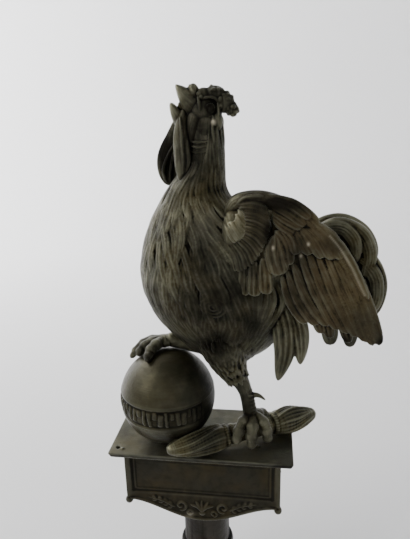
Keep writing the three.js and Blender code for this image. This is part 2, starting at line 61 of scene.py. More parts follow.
# Box
BOX_HALF_WIDTH = 56.5
BOX_HALF_DEPTH = 22.5
BOX_TOP = 135.3
BOX_CORNER_LEVEL = 94
APRON_DROP = 14.4
APRON_HALF = 52
BOX_WALL = 2.6
PANEL_HALF = 51.4
PANEL_LOW = 101.6
PANEL_HIGH = 131
PANEL_SUNK = 0.9
FRAME_INSET = 2.2
KNOB_RADIUS = 2.9

# Top plate
PLATE_HALF_WIDTH = 65
PLATE_HALF_DEPTH = 32
PLATE_TOP = 140
PLATE_THICKNESS = 4.4
PLATE_UNDERCUT = 1.7
SCREW_HOLE = (59, 24.6)
SCREW_HOLE_RADIUS = 1.5
GAP = 0.3

# Globe
GLOBE_RADIUS = 34
GLOBE = np.array([-25.2, -4.5, PLATE_TOP + GAP + GLOBE_RADIUS - 1])
BAND_HALF = 7.5
BAND_DEPTH = 0.9
BAND_START = 0.22
BAND_END = 2.56
STROKES = 19
STROKE_HEIGHT = 1.05

# Thunderbolt
BOLT_LEVEL = PLATE_TOP + GAP + 9.9
BOLT_LEFT = np.array([-20.5, -38.2, BOLT_LEVEL])
BOLT_RIGHT = np.array([82, 19, BOLT_LEVEL - 1.2])
BOLT_RADIUS = 9.8
BOLT_WAIST_RADIUS = 6.6
BUNDLE_LENGTH = 43
WAIST_LENGTH = 39
FLUTES = 8
COLLAR_RADIUS = 8.3
COLLAR_STEPS = (0, 5.4)

# Body and neck: height, breast, back and half width
BODY = np.array([
    [206, 2, 35, 12], [209, -5, 42, 16], [215, -12, 49, 21], [227, -24, 57, 27], [239, -32.6, 65, 31],
    [253, -37.8, 69, 33], [267, -39.4, 65, 33], [284, -36.4, 57, 30], [300, -31, 38, 25],
    [310, -25.6, 25.4, 20], [320, -20, 17.4, 15.5], [335, -8, 17.2, 11.4], [345, -4.6, 16.8, 10],
    [365, -3, 17.6, 8.8],
])

# Wings, in side view: each line is a feather's root, middle and tip
WING_LEADING = [[23, 311], [30, 320], [45, 322.6], [64, 316], [82, 300], [97, 278.6], [107, 258], [112, 243]]
SHEET = [
    [[49, 310], [60, 283], [69, 252]], [[54, 308], [71, 282], [83, 250]], [[60, 306], [77, 282], [95, 246]],
    [[40, 307], [45, 290], [47, 271]], [[66, 303], [83, 282], [102, 246]],
]
FLIGHT = [
    [[54, 274], [61, 258], [69.6, 245.6]], [[57, 278], [66, 259], [75.7, 245]],
    [[60, 283], [70, 262], [82, 245]], [[64, 289], [75, 265.5], [87.7, 242.7]],
    [[68, 291], [80, 266], [93.1, 240.7]],
    [[73, 291], [85, 266], [98.4, 238.6]], [[78, 290], [90.4, 265], [103.8, 235.7]],
    [[82, 290], [95.4, 265], [108, 233.4]], [[86, 290], [99, 267], [112, 233.6]],
]
UNDER = [
    [[70, 264], [75, 249], [78.6, 239]], [[75, 264], [80.4, 249], [83.5, 236.4]],
    [[84, 264], [89.5, 249.5], [94.2, 234]],
]
PRIMARY_COVERTS = [
    [[56.5, 303], [60.8, 297], [63.7, 288]], [[59.2, 305], [64.8, 298], [70.6, 288.4]],
    [[63, 306], [71, 297.6], [77.4, 286.6]], [[67, 306], [76.3, 297.8], [82.8, 286.1]],
    [[71, 307], [80.3, 298], [87.5, 286.7]],
]
SWOOPS = [[[49.5, 301.4], [56, 294.5], [58.7, 281.4]], [[53, 303.7], [59.4, 297.6], [62.4, 288.3]]]
MARGIN = [
    [[46.5, 319.7], [57.5, 317.3], [69.2, 309.4]], [[46.5, 316.2], [56.3, 312.4], [66.6, 305.1]],
    [[47.3, 312.7], [55, 308.8], [64.7, 303.6]], [[47.7, 309.2], [53, 305.2], [60.7, 300.5]],
]
LEADING_FEATHERS = [
    [[43.7, 321.6], [60.2, 316.6], [73.9, 307]], [[46, 319.4], [61.6, 313.6], [74.7, 304.6]],
    [[67, 310], [78.2, 300], [86, 289.5]], [[74, 307], [87.2, 291.6], [103, 263]],
]
# Each inner feather: its half width and its line
INNER_FEATHERS = [
    (6.4, [[49.6, 299], [50.2, 287], [53.5, 275.3]]), (4.4, [[43, 285], [44.6, 273], [45.3, 262.5]]),
    (4.6, [[37.6, 283], [38, 271], [37.9, 260.3]]), (4.4, [[32.2, 281], [31.8, 269], [31, 259.8]]),
]
# The ring of narrow feathers round the shoulder, and the scales of the neck that end on it
RING_COUNT = 19
RING_ROOTS = [[27, 316], [31, 310.5], [31.4, 303], [30, 297], [25, 292.5], [18, 291]]
RING_TIPS = [[46, 315], [47.5, 307.7], [47.1, 299.8], [44, 291.4], [39, 282.7], [32.2, 276.6], [25, 274]]
CAPE_ROOTS = [[13, 332], [11, 334], [8, 333], [4.5, 331], [1, 327]]
CAPE_TIPS = [[28, 316], [33.4, 310], [33.4, 302], [29.6, 295.4], [20, 291]]
CAPE_TIERS = 6
CAPE_ROW = 15
SHOULDER = (33, 297, -4.6)
SHOULDER_SIZE = (15, 6.2, 21)
SHOULDER_LINES = [
    [[27.5, 315.6], [32.3, 319.4], [38, 320.6], [43.7, 320.4]],
    [[28.6, 312], [34.4, 316], [40.9, 317], [45.1, 316]],
]
FAR_WING_DROP = 16
FAR_WING_SHIFT = -3

# The folds of the wattles: line and half width
WATTLE_FOLDS = [
    ([[-8.6, -5.6, 366], [-7.6, -8.4, 354], [-7.0, -9.8, 340], [-7.6, -9.6, 327]], 1.3),
    ([[-5.6, -5.2, 357], [-4.0, -8.2, 347], [-3.6, -9.2, 338], [-6.0, -9.4, 329]], 1.5),
    ([[-10.4, -6.4, 358], [-11.0, -8.6, 346], [-10.6, -9.2, 336], [-9.4, -9.4, 327]], 1.0),
    ([[-14, 1.4, 350], [-19.4, 3, 340], [-22.4, 3.4, 331], [-20.6, 3.6, 324]], 1.3),
    ([[-13, 1.0, 354], [-15.4, 2.6, 342], [-17.6, 3.2, 332], [-18.4, 3.4, 324]], 1.0),
]
# The comb's lobes: middle in side view, half length, half height, half thickness, and the number of bumps
LOBES = [
    (-0.8, 378.6, 3.8, 6, 4, 0), (5.6, 376.6, 6, 5.4, 5, 5), (12.2, 377.4, 7, 5.6, 4.7, 9),
    (18.3, 372.7, 6.2, 6.1, 5.3, 26), (22.6, 369.2, 4, 4.2, 4, 26),
]
# Each wattle: its side, half width and line
WATTLES = [
    (-1, 5.0, [[-7, -1, 369.6], [-8.6, -6.0, 357], [-7.8, -8.2, 341], [-8.4, -8.8, 324.6]]),
    (1, 8.6, [[-8, 3, 368], [-13.4, 5, 352], [-18.6, 6, 338], [-20.2, 6, 322]]),
]

# Each sickle: its place across the tail, its half width and the points of its arch
SICKLES = [
    [6, 4.4, [[64, 284], [78, 296], [91, 297], [98.5, 289], [99.5, 275]]],
    [5, 4.6, [[72, 294], [88, 300], [103, 293], [108.6, 280], [106, 265]]],
    [6, 4.6, [[90, 281], [103, 277], [112.4, 266], [114, 252], [110, 240]]],
    [8, 3.8, [[80, 285], [92, 282], [99, 269], [100.6, 254], [98, 238]]],
    [8, 3.6, [[88, 264], [99, 262], [106, 251], [107, 241], [103, 228]]],
    [0, 6.6, [[60, 266], [72, 292], [88, 298.5], [103, 292], [109.6, 279], [107, 266]]],
    [4.5, 6.4, [[60, 262], [74, 282], [88, 287], [97, 279], [99, 266]]],
    [2.5, 7, [[60, 262], [84, 279], [104.6, 277], [114, 262], [113.4, 238]]],
    [6, 7, [[60, 256], [84, 269], [98, 264], [105, 251], [105, 234]]],
    [3, 5.8, [[60, 250], [80, 262], [93, 250], [99, 232], [100.4, 215.6]]],
    [7, 5.8, [[58, 246], [74, 252], [82, 240], [86, 230], [87, 218.6]]],
]
# Each feather that hangs under the tail: its half width and its line
HANGING = [
    [8.0, [[45, 264], [54.6, 243], [57.4, 220], [53.2, 195.4]]],
    [6.4, [[54, 258], [63.6, 241], [67.2, 225], [67.6, 207]]],
    [6, [[36, 268], [42, 248], [43, 236], [42, 224]]],
]


# Forms

def path(points):
    """A smooth line through the points, as a function of shares from 0 to 1."""
    p = np.array(points, float)
    p = np.vstack([2 * p[0] - p[1], p, 2 * p[-1] - p[-2]])
    gaps = np.maximum(np.linalg.norm(np.diff(p, axis=0), axis=1), 1e-6) ** 0.5
    last = len(points) - 1

    def at(share):
        t = np.clip(np.asarray(share, float), 0, 1) * last
        i = np.minimum(t.astype(int), last - 1)
        u = (t - i)[..., None]
        a, b, c, d = p[i], p[i + 1], p[i + 2], p[i + 3]
        before, here, after = (gaps[i + k][..., None] for k in range(3))
        start = ((b - a) / before - (c - a) / (before + here) + (c - b) / here) * here
        end = ((c - b) / here - (d - b) / (here + after) + (d - c) / after) * here
        return b + u * (start + u * (3 * (c - b) - 2 * start - end + u * (2 * (b - c) + start + end)))

    return at


def unit(v):
    return v / np.maximum(np.linalg.norm(v, axis=-1, keepdims=True), 1e-9)


def rounded(t, sharpness):
    """1 along the middle of a form, and falling to 0 at its ends."""
    return np.sqrt(np.clip(1 - np.abs(2 * t - 1) ** sharpness, 0, 1))


def even(half, sharpness=6):
    return lambda t: half * rounded(t, sharpness)


def leaf(half, widest=0.55):
    return lambda t: half * np.sin(np.pi * np.clip(t, 0, 1) ** (math.log(0.5) / math.log(widest)))


def tapered(thick):
    return lambda t: thick * (1 - 0.5 * t) * rounded(t, 6)


def narrowing(root, tip):
    return lambda t: (root + (tip - root) * t) * rounded(t, 8)


def plumed(half):
    """A feather's outline: narrow at its root, full along its vane and round at its tip."""
    return lambda t: half * np.clip(0.5 + 1.1 * t, 0, 1) * rounded(t, 5)


def tress(half):
    """The outline of a lock of plumage: full along most of it, and pointed at both ends."""
    return lambda t: half * np.sin(np.pi * np.clip(t, 0, 1)) ** 0.62


_shapes = {}


def sphere(sides, rings):
    """The points and triangles of a round ball of radius 1."""
    if (sides, rings) not in _shapes:
        bm = bmesh.new()
        bmesh.ops.create_uvsphere(bm, u_segments=sides, v_segments=rings, radius=1)
        bmesh.ops.triangulate(bm, faces=bm.faces)
        points = np.array([v.co for v in bm.verts])
        faces = np.array([[v.index for v in f.verts] for f in bm.faces])
        bm.free()
        _shapes[sides, rings] = (points, faces)
    return _shapes[sides, rings]


def barrel(sides, rings):
    """The share from pole to pole and the angle round of each point of a ball, and its triangles."""
    shape, faces = sphere(sides, rings)
    return np.arccos(np.clip(shape[:, 2], -1, 1)) / np.pi, np.arctan2(shape[:, 1], shape[:, 0]), faces


def blade(points, width, thick, face, sides, rings, boxy=1.0, ribs=0, rib=0.0, both=False):
    """A closed form along the points.

    Its half sizes run with the share along it, its ridge looks to face, and ribs run down the side that looks
    there, or down both. Its barbs say where each point lies across and along it.
    """
    line = path(points)
    t, around, faces = barrel(sides, rings)
    across = np.sign(np.cos(around)) * np.abs(np.cos(around)) ** boxy
    up = np.sign(np.sin(around)) * np.abs(np.sin(around)) ** boxy
    place = line(t)
    along = unit(line(t + 0.004) - line(t - 0.004))
    out = np.broadcast_to(np.asarray(face, float), place.shape)
    out = unit(out - along * (out * along).sum(1, keepdims=True))
    side = np.cross(out, along)
    height = up * thick(t)
    if ribs:
        pattern = np.cos(np.pi * (ribs - 1 + 1e-9) * across) if ribs > 1 else 1 - 2 * np.abs(across)
        shown = np.abs(up) if both else up
        relief = rib * pattern * np.clip(shown * 1.6, 0, 1) * np.sin(np.pi * np.clip(t, 0, 1)) ** 0.35
        height = height + relief * np.where(up < 0, -1, 1)
    shift = 40 * math.sin(float(place.sum()))
    long = np.linalg.norm(line(1.0) - line(0.0))
    barbs = np.column_stack([across * width(t) + shift, t * long, side, along])
    return place + side * (across * width(t))[:, None] + out * height[:, None], faces, barbs


def ball(centre, size, sides=20, rings=14):
    shape, faces = sphere(sides, rings)
    return shape * size + centre, faces


def limb(points, radii, sides, rings):
    spots = np.linspace(0, 1, len(radii))

    def radius(t):
        return np.interp(t, spots, radii) * rounded(t, 12)

    return blade(points, radius, radius, (0.02, -1, 0.03), sides, rings)


def placed(name, data):
    """A new object in the scene that holds the data."""
    obj = bpy.data.objects.new(name, data)
    bpy.context.scene.collection.objects.link(obj)
    return obj


def settled(obj):
    """The mesh of an object with its modifiers applied."""
    depsgraph = bpy.context.evaluated_depsgraph_get()
    return bpy.data.meshes.new_from_object(obj.evaluated_get(depsgraph), depsgraph=depsgraph)


def cast(name, forms, grain, most):
    """One closed mesh of forms that are run together, in millimetres, with at most so many triangles."""
    points = np.vstack([form[0] for form in forms])
    starts = np.cumsum([0] + [len(form[0]) for form in forms])
    faces = np.vstack([form[1] + start for form, start in zip(forms, starts)])
    mesh = bpy.data.meshes.new(name)
    mesh.from_pydata(points.tolist(), [], faces.tolist())
    raw = placed(name + "_raw", mesh)
    remesh = raw.modifiers.new("run together", "REMESH")
    remesh.mode = "VOXEL"
    remesh.voxel_size = grain
    smooth = raw.modifiers.new("soften", "SMOOTH")
    smooth.factor = 0.5
    smooth.iterations = 1
    made = settled(raw)
    triangles = sum(len(p.vertices) - 2 for p in made.polygons)
    if triangles > most:
        raw.modifiers.clear()
        raw.data = made
        raw.modifiers.new("thin", "DECIMATE").ratio = most / triangles
        made = settled(raw)
    bpy.data.objects.remove(raw)
    comb(made, points, np.vstack([form[2] if len(form) > 2 else upright_barbs(form[0]) for form in forms]))
    return made


def comb(mesh, spots, barbs):
    """Tells each vertex where it lies across and along the nearest form's barbs, in millimetres."""
    tree = KDTree(len(spots))
    for i, spot in enumerate(spots.tolist()):
        tree.insert(spot, i)
    tree.balance()
    co = coordinates(mesh)
    nearest = np.array([tree.find(p)[1] for p in co.tolist()])
    away, barbs = co - spots[nearest], barbs[nearest]
    paint(mesh, "barb_across", barbs[:, 0] + (away * barbs[:, 2:5]).sum(1))
    paint(mesh, "barb_along", barbs[:, 1] + (away * barbs[:, 5:8]).sum(1))


def upright_barbs(points):
    """Barbs that stand upright, for forms that have no line of their own."""
    across = np.array([0.82, 0.57, 0.0])
    return np.column_stack([points @ across, points[:, 2], np.tile([*across, 0, 0, 1], (len(points), 1))])


def coordinates(mesh):
    co = np.empty(3 * len(mesh.vertices), np.float32)
    mesh.vertices.foreach_get("co", co)
    return co.reshape(-1, 3).astype(float)


def normals(mesh):
    out = np.empty(3 * len(mesh.vertices), np.float32)
    mesh.vertex_normals.foreach_get("vector", out)
    return out.reshape(-1, 3).astype(float)


def hollows(mesh, rounds):
    """How far each vertex lies under the surface that smoothing would leave, in millimetres."""
    edges = np.empty(2 * len(mesh.edges), np.int32)
    mesh.edges.foreach_get("vertices", edges)
    a, b = edges.reshape(-1, 2).T
    co = coordinates(mesh)
    count = len(co)
    degree = np.maximum(np.bincount(a, minlength=count) + np.bincount(b, minlength=count), 1)
    smooth = co.copy()
    for _ in range(rounds):
        total = [np.bincount(a, smooth[b, k], count) + np.bincount(b, smooth[a, k], count) for k in range(3)]
        smooth = np.stack(total, 1) / degree[:, None]
    return ((smooth - co) * normals(mesh)).sum(1)


# The depth in millimetres that counts as a full hollow, for fine relief and for whole forms
FINE_HOLLOW = 0.16
DEEP_HOLLOW = 1.3


def paint(mesh, name, values):
    layer = mesh.attributes.new(name, "FLOAT", "POINT")
    layer.data.foreach_set("value", np.asarray(values, np.float32))


def piece(name, mesh, material, node, slot, warm_tone_and_light=None, rub=(), shade_and_stain=()):
    """A finished piece in metres.

    rub lists worn places: middle, reach and strength. The last list gives places painted dark, in side view
    in the same way: painted shade, with the cock's dark patina among them.
    """
    co = coordinates(mesh)
    paint(mesh, "fine_hollow", np.clip(hollows(mesh, 3) / FINE_HOLLOW, -1, 1))
    paint(mesh, "deep_hollow", np.clip(hollows(mesh, 45) / DEEP_HOLLOW, -1, 1))
    paint(mesh, "warmth_and_light", warm_tone_and_light(co) if warm_tone_and_light else np.zeros(len(co)))
    worn = np.zeros(len(co))
    for middle, reach, strength in rub:
        away = np.linalg.norm((co - middle) / np.asarray(reach, float), axis=1)
        worn = np.maximum(worn, strength * np.exp(-away**2))
    paint(mesh, "rubbed", worn)
    # Painted shade: the listed places are darkened in side view, on the cock together with its dark patina
    dark = np.zeros(len(co))
    for middle, reach, strength in shade_and_stain:
        away = np.linalg.norm((co[:, [0, 2]] - middle) / np.asarray(reach, float), axis=1)
        dark = 1 - (1 - dark) * (1 - strength * np.exp(-away**2))
    paint(mesh, "painted_shade_and_stain", dark)
    mesh.transform(Matrix.Scale(MM, 4))
    mesh.shade_smooth()
    mesh.materials.clear()
    mesh.materials.append(material)
    obj = placed(name, mesh)
    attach(obj, "root")
    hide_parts(node)


# The body

LEVELS = np.arange(200.0, 372.0, 1.0)
SOFT_REACH = 8


def smoothed(column):
    """A measure of the body at each level, with the corners between its tiers rounded off."""
    soft = np.exp(-0.5 * (np.arange(-SOFT_REACH, SOFT_REACH + 1) / 3.0) ** 2)
    soft /= soft.sum()
    wide = np.arange(LEVELS[0] - SOFT_REACH, LEVELS[-1] + SOFT_REACH + 1)
    return np.convolve(np.interp(wide, BODY[:, 0], BODY[:, column]), soft, "valid")


FRONT, BACK, HALF = smoothed(1), smoothed(2), smoothed(3)
TORSO_TOP = 371
TORSO_FOOT = 207
LOCK_FOOT = 202
LOCK_ROOT_DEPTH = 1.2


def skin(z, angle, lift=0.0):
    """A point on the body's skin. Angle 0 looks along the back and a half turn along the breast."""
    z = np.asarray(z, float)
    front, back, half = (np.interp(z, LEVELS, column) for column in (FRONT, BACK, HALF))
    x = (front + back) / 2 + ((back - front) / 2 + lift) * np.cos(angle)
    return np.stack([x, (half + lift) * np.sin(angle), z], -1)


def skin_normal(z, angle):
    down = skin(z - 1, angle) - skin(z + 1, angle)
    around = skin(z, angle + 0.02) - skin(z, angle - 0.02)
    out = unit(np.cross(down, around))
    side = skin(z, angle, 1.0) - skin(z, angle)
    return out * np.sign((out * side).sum(-1, keepdims=True))


def torso():
    """The body and neck under the plumage, with its ends closed."""
    t, angle, faces = barrel(72, 60)
    z = TORSO_TOP - (TORSO_TOP - TORSO_FOOT) * t
    cap = rounded(t, np.where(t < 0.5, 9, 16))[:, None]
    middle = skin(z, angle, 0.0)
    middle[:, 0] = (np.interp(z, LEVELS, FRONT) + np.interp(z, LEVELS, BACK)) / 2
    middle[:, 1] = 0
    sunk = np.interp(z, [206, 225, 325, 338], [-0.5, -0.6, -0.6, 0])
    return middle + (skin(z, angle, sunk) - middle) * cap, faces


def lock(z, angle, long, half, thick, wave, phase, lift, rise, drift=0.0, ribs=0, rib=0.0):
    """A lock of the plumage that lies along the skin from its root at a height and angle."""
    heights = np.arange(z, max(z - long, LOCK_FOOT), -1.0)
    line = skin(heights, angle)
    run = np.concatenate([[0], np.cumsum(np.linalg.norm(np.diff(line, axis=0), axis=1))])
    t = np.linspace(0, 1, 8)
    zs = np.interp(t * min(long, run[-1]), run, heights)
    girth = np.linalg.norm(skin(zs, angle + 0.05) - skin(zs, angle - 0.05), axis=1) / 0.1
    swing = wave * (np.sin(2 * np.pi * 0.85 * t + phase) - math.sin(phase)) * t**0.5
    turn = angle + (drift * t + swing) / girth
    points = skin(zs, turn, lift - LOCK_ROOT_DEPTH + (LOCK_ROOT_DEPTH + rise) * np.sin(0.85 * np.pi * t))
    face = skin_normal(zs[4], turn[4])
    return blade(points, tress(half), even(thick, 4), face, 20 if ribs else 12, 18, 0.8, ribs, rib)


def under_wing(place):
    """Whether a wing hides the place."""
    x, y, z = place
    edge = np.interp(z, [248, 262, 300, 318], [60, 30, 21, 24])
    return 250 < z < 322 and x > edge and abs(y) > 12


# Each tier of locks: the height of its roots, its length and its half width
LOCK_TIERS = [
    (341, 30, 1.3), (333, 40, 1.7), (324, 46, 2.3), (314, 50, 2.8), (303, 50, 3.1), (290, 46, 3.2),
    (278, 42, 2.9), (266, 38, 2.5), (255, 33, 2.1), (246, 28, 1.8), (238, 23, 1.6), (230, 19, 1.4),
    (223, 16, 1.3), (217, 13, 1.2), (212, 10, 1.1),
]


def plumage():
    """The breast, belly and back: long locks in tiers, waved alike where they lie side by side."""
    forms = []
    for tier, (z, long, half) in enumerate(LOCK_TIERS):
        ring = skin(np.full(60, z), np.linspace(0, 2 * np.pi, 60))
        girth = np.linalg.norm(np.diff(ring, axis=0), axis=1).sum()
        count = int(girth / (half * 1.3))
        for i in range(count):
            angle = -np.pi + 2 * np.pi * (i + 0.5 * (tier % 2) + chance.uniform(-0.2, 0.2)) / count
            start = z + chance.uniform(-4, 4)
            length = long * chance.uniform(0.8, 1.2)
            if under_wing(skin(start - 0.45 * length, angle)):
                continue
            coherent = 2.2 * math.sin(3 * angle + z / 23) + z / 14
            forms.append(lock(
                start, angle, length, half * chance.uniform(0.85, 1.25), 0.3 + 0.17 * half,
                wave=0.075 * length, phase=coherent, lift=chance.uniform(-0.25, 0.25) * half / 3.4,
                rise=0.22 * half, drift=chance.uniform(-1.2, 1.2), ribs=3, rib=0.06 * half,
            ))
    return forms


WHORL_LEVEL = 252.5
WHORL_ANGLE = 1.62


def whorl(side):
    """The small oval swirl low on the breast."""
    forms = []
    face = skin_normal(WHORL_LEVEL, side * WHORL_ANGLE)
    turns = np.linspace(0, 2 * np.pi, 13)
    for reach in (1.6, 3.4, 5.2):
        z = WHORL_LEVEL + 1.25 * reach * np.sin(turns)
        angle = side * (WHORL_ANGLE + reach * np.cos(turns) / 36)
        forms.append(blade(skin(z, angle, 0.9), even(0.6, 40), even(0.7, 40), face, 8, 48))
    return forms


def hackle():
    """Fine strands down the back and sides of the neck."""
    forms = []
    for z, reach in ((361, 1.1), (354, 1.3), (346, 1.6), (338, 2.3), (330, 2.6)):
        count = int(34 * reach)
        for i in range(count):
            angle = reach * (2 * (i + chance.uniform(0.2, 0.8)) / count - 1)
            forms.append(lock(
                z + chance.uniform(-6, 6), angle, chance.uniform(22, 38), chance.uniform(0.7, 1.2), 0.7,
                wave=0.9, phase=3 * angle, lift=chance.uniform(-0.2, 0.25), rise=0.4,
            ))
    return forms


def over_shoulder(side, x, z, lift):
    """Places at x and z in side view over the breast or the shoulder's ball, whichever stands out further, or
    None where a place is beyond both."""
    middle = wing_point(side, *SHOULDER)
    long, wide, high = SHOULDER_SIZE
    points = []
    for px, pz, up in zip(x, z, lift):
        ring = skin(np.full(40, pz), side * np.linspace(0.05, 3.0, 40))
        breast = np.interp(px, ring[:, 0], side * ring[:, 1])
        round_part = 1 - ((px - middle[0]) / long) ** 2 - ((pz - middle[2]) / high) ** 2
        if px > ring[-1, 0] - 2 and round_part <= 0:
            return None
        ball_top = side * middle[1] + wide * math.sqrt(round_part) if round_part > 0 else 0
        points.append([px, side * (max(breast, ball_top) + up), pz])
    return points


def cape():
    """The hackle's ends, which spread over each shoulder like scales."""
    forms = []
    starts, ends = in_side_view(CAPE_ROOTS), in_side_view(CAPE_TIPS)
    for side in (-1, 1):
        shift = np.array([FAR_WING_SHIFT, 0, -FAR_WING_DROP]) if side > 0 else np.zeros(3)
        face = (-0.1, side, 0.25)
        for tier in range(CAPE_TIERS):
            for i in range(CAPE_ROW):
                v = (i + 0.25 + 0.5 * (tier % 2)) / CAPE_ROW
                start, end = starts(v), ends(v) + shift
                t = 0.16 * tier + chance.uniform(-0.03, 0.03) + np.linspace(-0.06, 0.26, 4)
                line = start + (end - start) * np.clip(t, 0, 1.03)[:, None]
                points = over_shoulder(side, line[:, 0], line[:, 2], [-0.2, 0.6, 0.9, 0.75])
                if points is not None:
                    width = plumed(chance.uniform(1.5, 2.0))
                    forms.append(blade(points, width, even(0.6, 3), face, 16, 20, 0.8, 3, 0.1))
    return forms


# The head

def drop(root, middle):
    """The outline of a hanging wattle."""
    return lambda t: (root + (middle - root) * np.sin(np.pi * t**1.4)) * rounded(t, 7)


# The parts of the beak, in side view: line, half width at the root and tip, and half thickness
BEAK = [
    ([[5, 0, 368], [-3.8, 0, 375.6], [-11.8, 0, 384.4]], 12.4, 0.9, 4.6),
    ([[3, 0, 358], [-9, 0, 363.4], [-15.4, 0, 374]], 8.8, 1.4, 4.4),
]


def head():
    """The head: comb, skull, throat, neck, beak with its tongue, wattles and both sides of the face."""
    left = (0, -1, 0)
    forms = [ball((x, 0, z), (long, wide, high), 24, 16) for x, z, long, high, wide, _ in LOBES]
    forms.append(ball((6.2, 0, 366.6), (9.6, 7.2, 10.4), 32, 24))
    throat = [[3, 0, 369], [-0.4, 0.3, 356], [-2.2, 0.5, 345], [-3, 0.5, 334]]
    nape = [[8, 0, 367], [7, 0, 358], [6.4, 0, 349], [6, 0, 340]]
    forms += [limb(throat, [6.6, 7.4, 7.4, 7.2], 28, 28), limb(nape, [7.2, 8.6, 9.2, 9.2], 32, 28)]
    for line, root, tip, thick in BEAK:
        forms.append(blade(line, narrowing(root, tip), even(thick, 4), left, 24, 20))
    forms.append(blade([[0, 0, 366], [-6, 0, 369], [-10.6, 0, 373.6]], even(1.6), even(1.4), left, 12, 12))
    for side, half, line in WATTLES:
        forms.append(blade(line, drop(half * 0.5, half), even(2.0), (0, side, 0), 44, 36, 0.75, 2, 0.4, True))
    forms += [blade(line, tress(half), even(half), left, 12, 30) for line, half in WATTLE_FOLDS]
    for x, z, long, high, wide, bumps in LOBES:
        for _ in range(bumps):
            away = unit(chance.normal(size=3))
            place = np.array([x, 0, z]) + away * [long, wide, high] * chance.uniform(0.82, 0.9)
            forms.append(ball(place, chance.uniform(1.2, 2.0, 3), 12, 10))
    front_lobe = [[4, 0, 370], [0.4, 0, 377], [-3.2, 0, 384.2]]
    forms.append(blade(front_lobe, narrowing(4.6, 1.6), even(3.6, 3), left, 20, 16))
    return forms + face(-1) + face(1)


# The folds of one side of the face: line and half width
FACE_FOLDS = [
    ([[7.8, 5.8, 368.6], [9.0, 6.8, 371.6], [11.4, 6.9, 372.0], [13.6, 5.6, 369.4]], 0.6),
    ([[2.4, 4.0, 377.4], [3.4, 5.8, 373.4], [4.0, 6.2, 369.0], [3.2, 5.0, 364]], 1.0),
    ([[4.4, 4.4, 374.6], [7.8, 5.2, 376.0], [12.8, 5.0, 375.4], [16, 3.4, 371.4]], 0.8),
    ([[14.8, 4.4, 373.6], [15.2, 5.2, 368], [14.8, 6.2, 363], [14, 7.4, 355]], 1.1),
    ([[12.6, 5.4, 366.4], [10.2, 6.3, 364.8], [8.0, 6.0, 366.2], [6.8, 5.2, 369]], 0.6),
]
# The creases of the throat: height and half width
CREASES = ((351, 0.9), (348, 0.8), (345, 0.6))


def face(side):
    """One side of the bare face: ear lobe, eye, cheek, and the folds of its skin."""
    out = (0, side, 0)
    forms = [
        ball((12.4, 7.4 * side, 361.2), (1.8, 1.4, 2.1), 18, 12),
        ball((10.6, 5.9 * side, 369.2), (2.2, 1.5, 2.8), 18, 12),
        ball((14.2, 4.4 * side, 361.4), (3.2, 3.4, 5.4), 20, 14),
    ]
    for line, half in FACE_FOLDS:
        forms.append(blade([[x, y * side, z] for x, y, z in line], even(half, 2), even(half, 2), out, 10, 20))
    angles = side * np.linspace(2.45, 1.3, 5)
    for z, half in CREASES:
        points = skin(z - 0.9 * np.sin(np.linspace(0, np.pi, 5)), angles, 0.3)
        forms.append(blade(points, even(half, 2), even(0.8, 2), out, 8, 20))
    return forms


# The wings

def wing_point(side, x, z, lift=0.0):
    """A place on a wing, given in side view, at a distance outwards. The far wing is lower and closer."""
    x, z = np.asarray(x, float), np.asarray(z, float)
    if side > 0:
        return np.stack([x + FAR_WING_SHIFT, 25 + 0.12 * (x - 27) + lift, z - FAR_WING_DROP], -1)
    return np.stack([x, -(27 + 0.36 * (x - 27) - 0.0023 * (x - 27) ** 2 + lift), z], -1)


def in_side_view(points):
    return path([[x, 0, z] for x, z in points])


def plume(side, line, half, lift, thick, ribs, rib, tilt=0.0, rise=0.5):
    """A feather of the wing along its line in side view. tilt lifts its upper edge off the feather before."""
    t = np.linspace(0, 1, 7)
    flat = in_side_view(line)(t)
    away = flat[-1] - flat[0]
    across = np.array([-away[2], 0, away[0]]) / np.linalg.norm(away)
    points = wing_point(side, flat[:, 0], flat[:, 2], lift - 0.8 + (0.8 + rise) * t)
    face = unit(np.array([-0.25 if side < 0 else -0.1, side, 0.0]) + tilt * across)
    return blade(points, plumed(half), tapered(thick), face, 30, 30, 0.7, ribs, rib)


def ring(side):
    """Narrow feathers side by side that spread round the shoulder."""
    start, end = in_side_view(RING_ROOTS), in_side_view(RING_TIPS)
    forms = []
    for i in range(RING_COUNT):
        v = (i + 0.5) / RING_COUNT
        root, tip = start(v), end(v)
        away = tip - root
        middle = (root + tip) / 2 + np.array([-away[2], 0, away[0]]) * 0.1
        line = [[p[0], p[2]] for p in (root, middle, tip)]
        forms.append(plume(side, line, 1.6, 2.6 + 0.3 * (i % 2), 1.2, 1, 0.25, rise=1.8))
    return forms


# Each row of a wing's feathers, from the inside out: lines, half width, distance outwards, thickness,
# number and height of its ribs, tilt and the rise of its tips
FEATHER_ROWS = [
    (SHEET, 8, -1.8, 2.4, 0, 0.3, 0.0, 0),
    (UNDER, 3.8, -1.6, 2.0, 4, 0.3, 0.0, 0),
    (FLIGHT, 4.3, 0.1, 1.7, 3, 0.14, 0.34, 0.1),
    (PRIMARY_COVERTS, 4.4, 1.3, 1.6, 3, 0.15, 0.24, 0.1),
    (SWOOPS, 3.4, 2.0, 1.6, 3, 0.3, 0.2, 0.5),
    (MARGIN, 3.2, 2.0, 1.5, 4, 0.25, 0.15, 0.2),
    (LEADING_FEATHERS, 3.0, 1.4, 1.5, 3, 0.2, 0.0, -0.3),
]


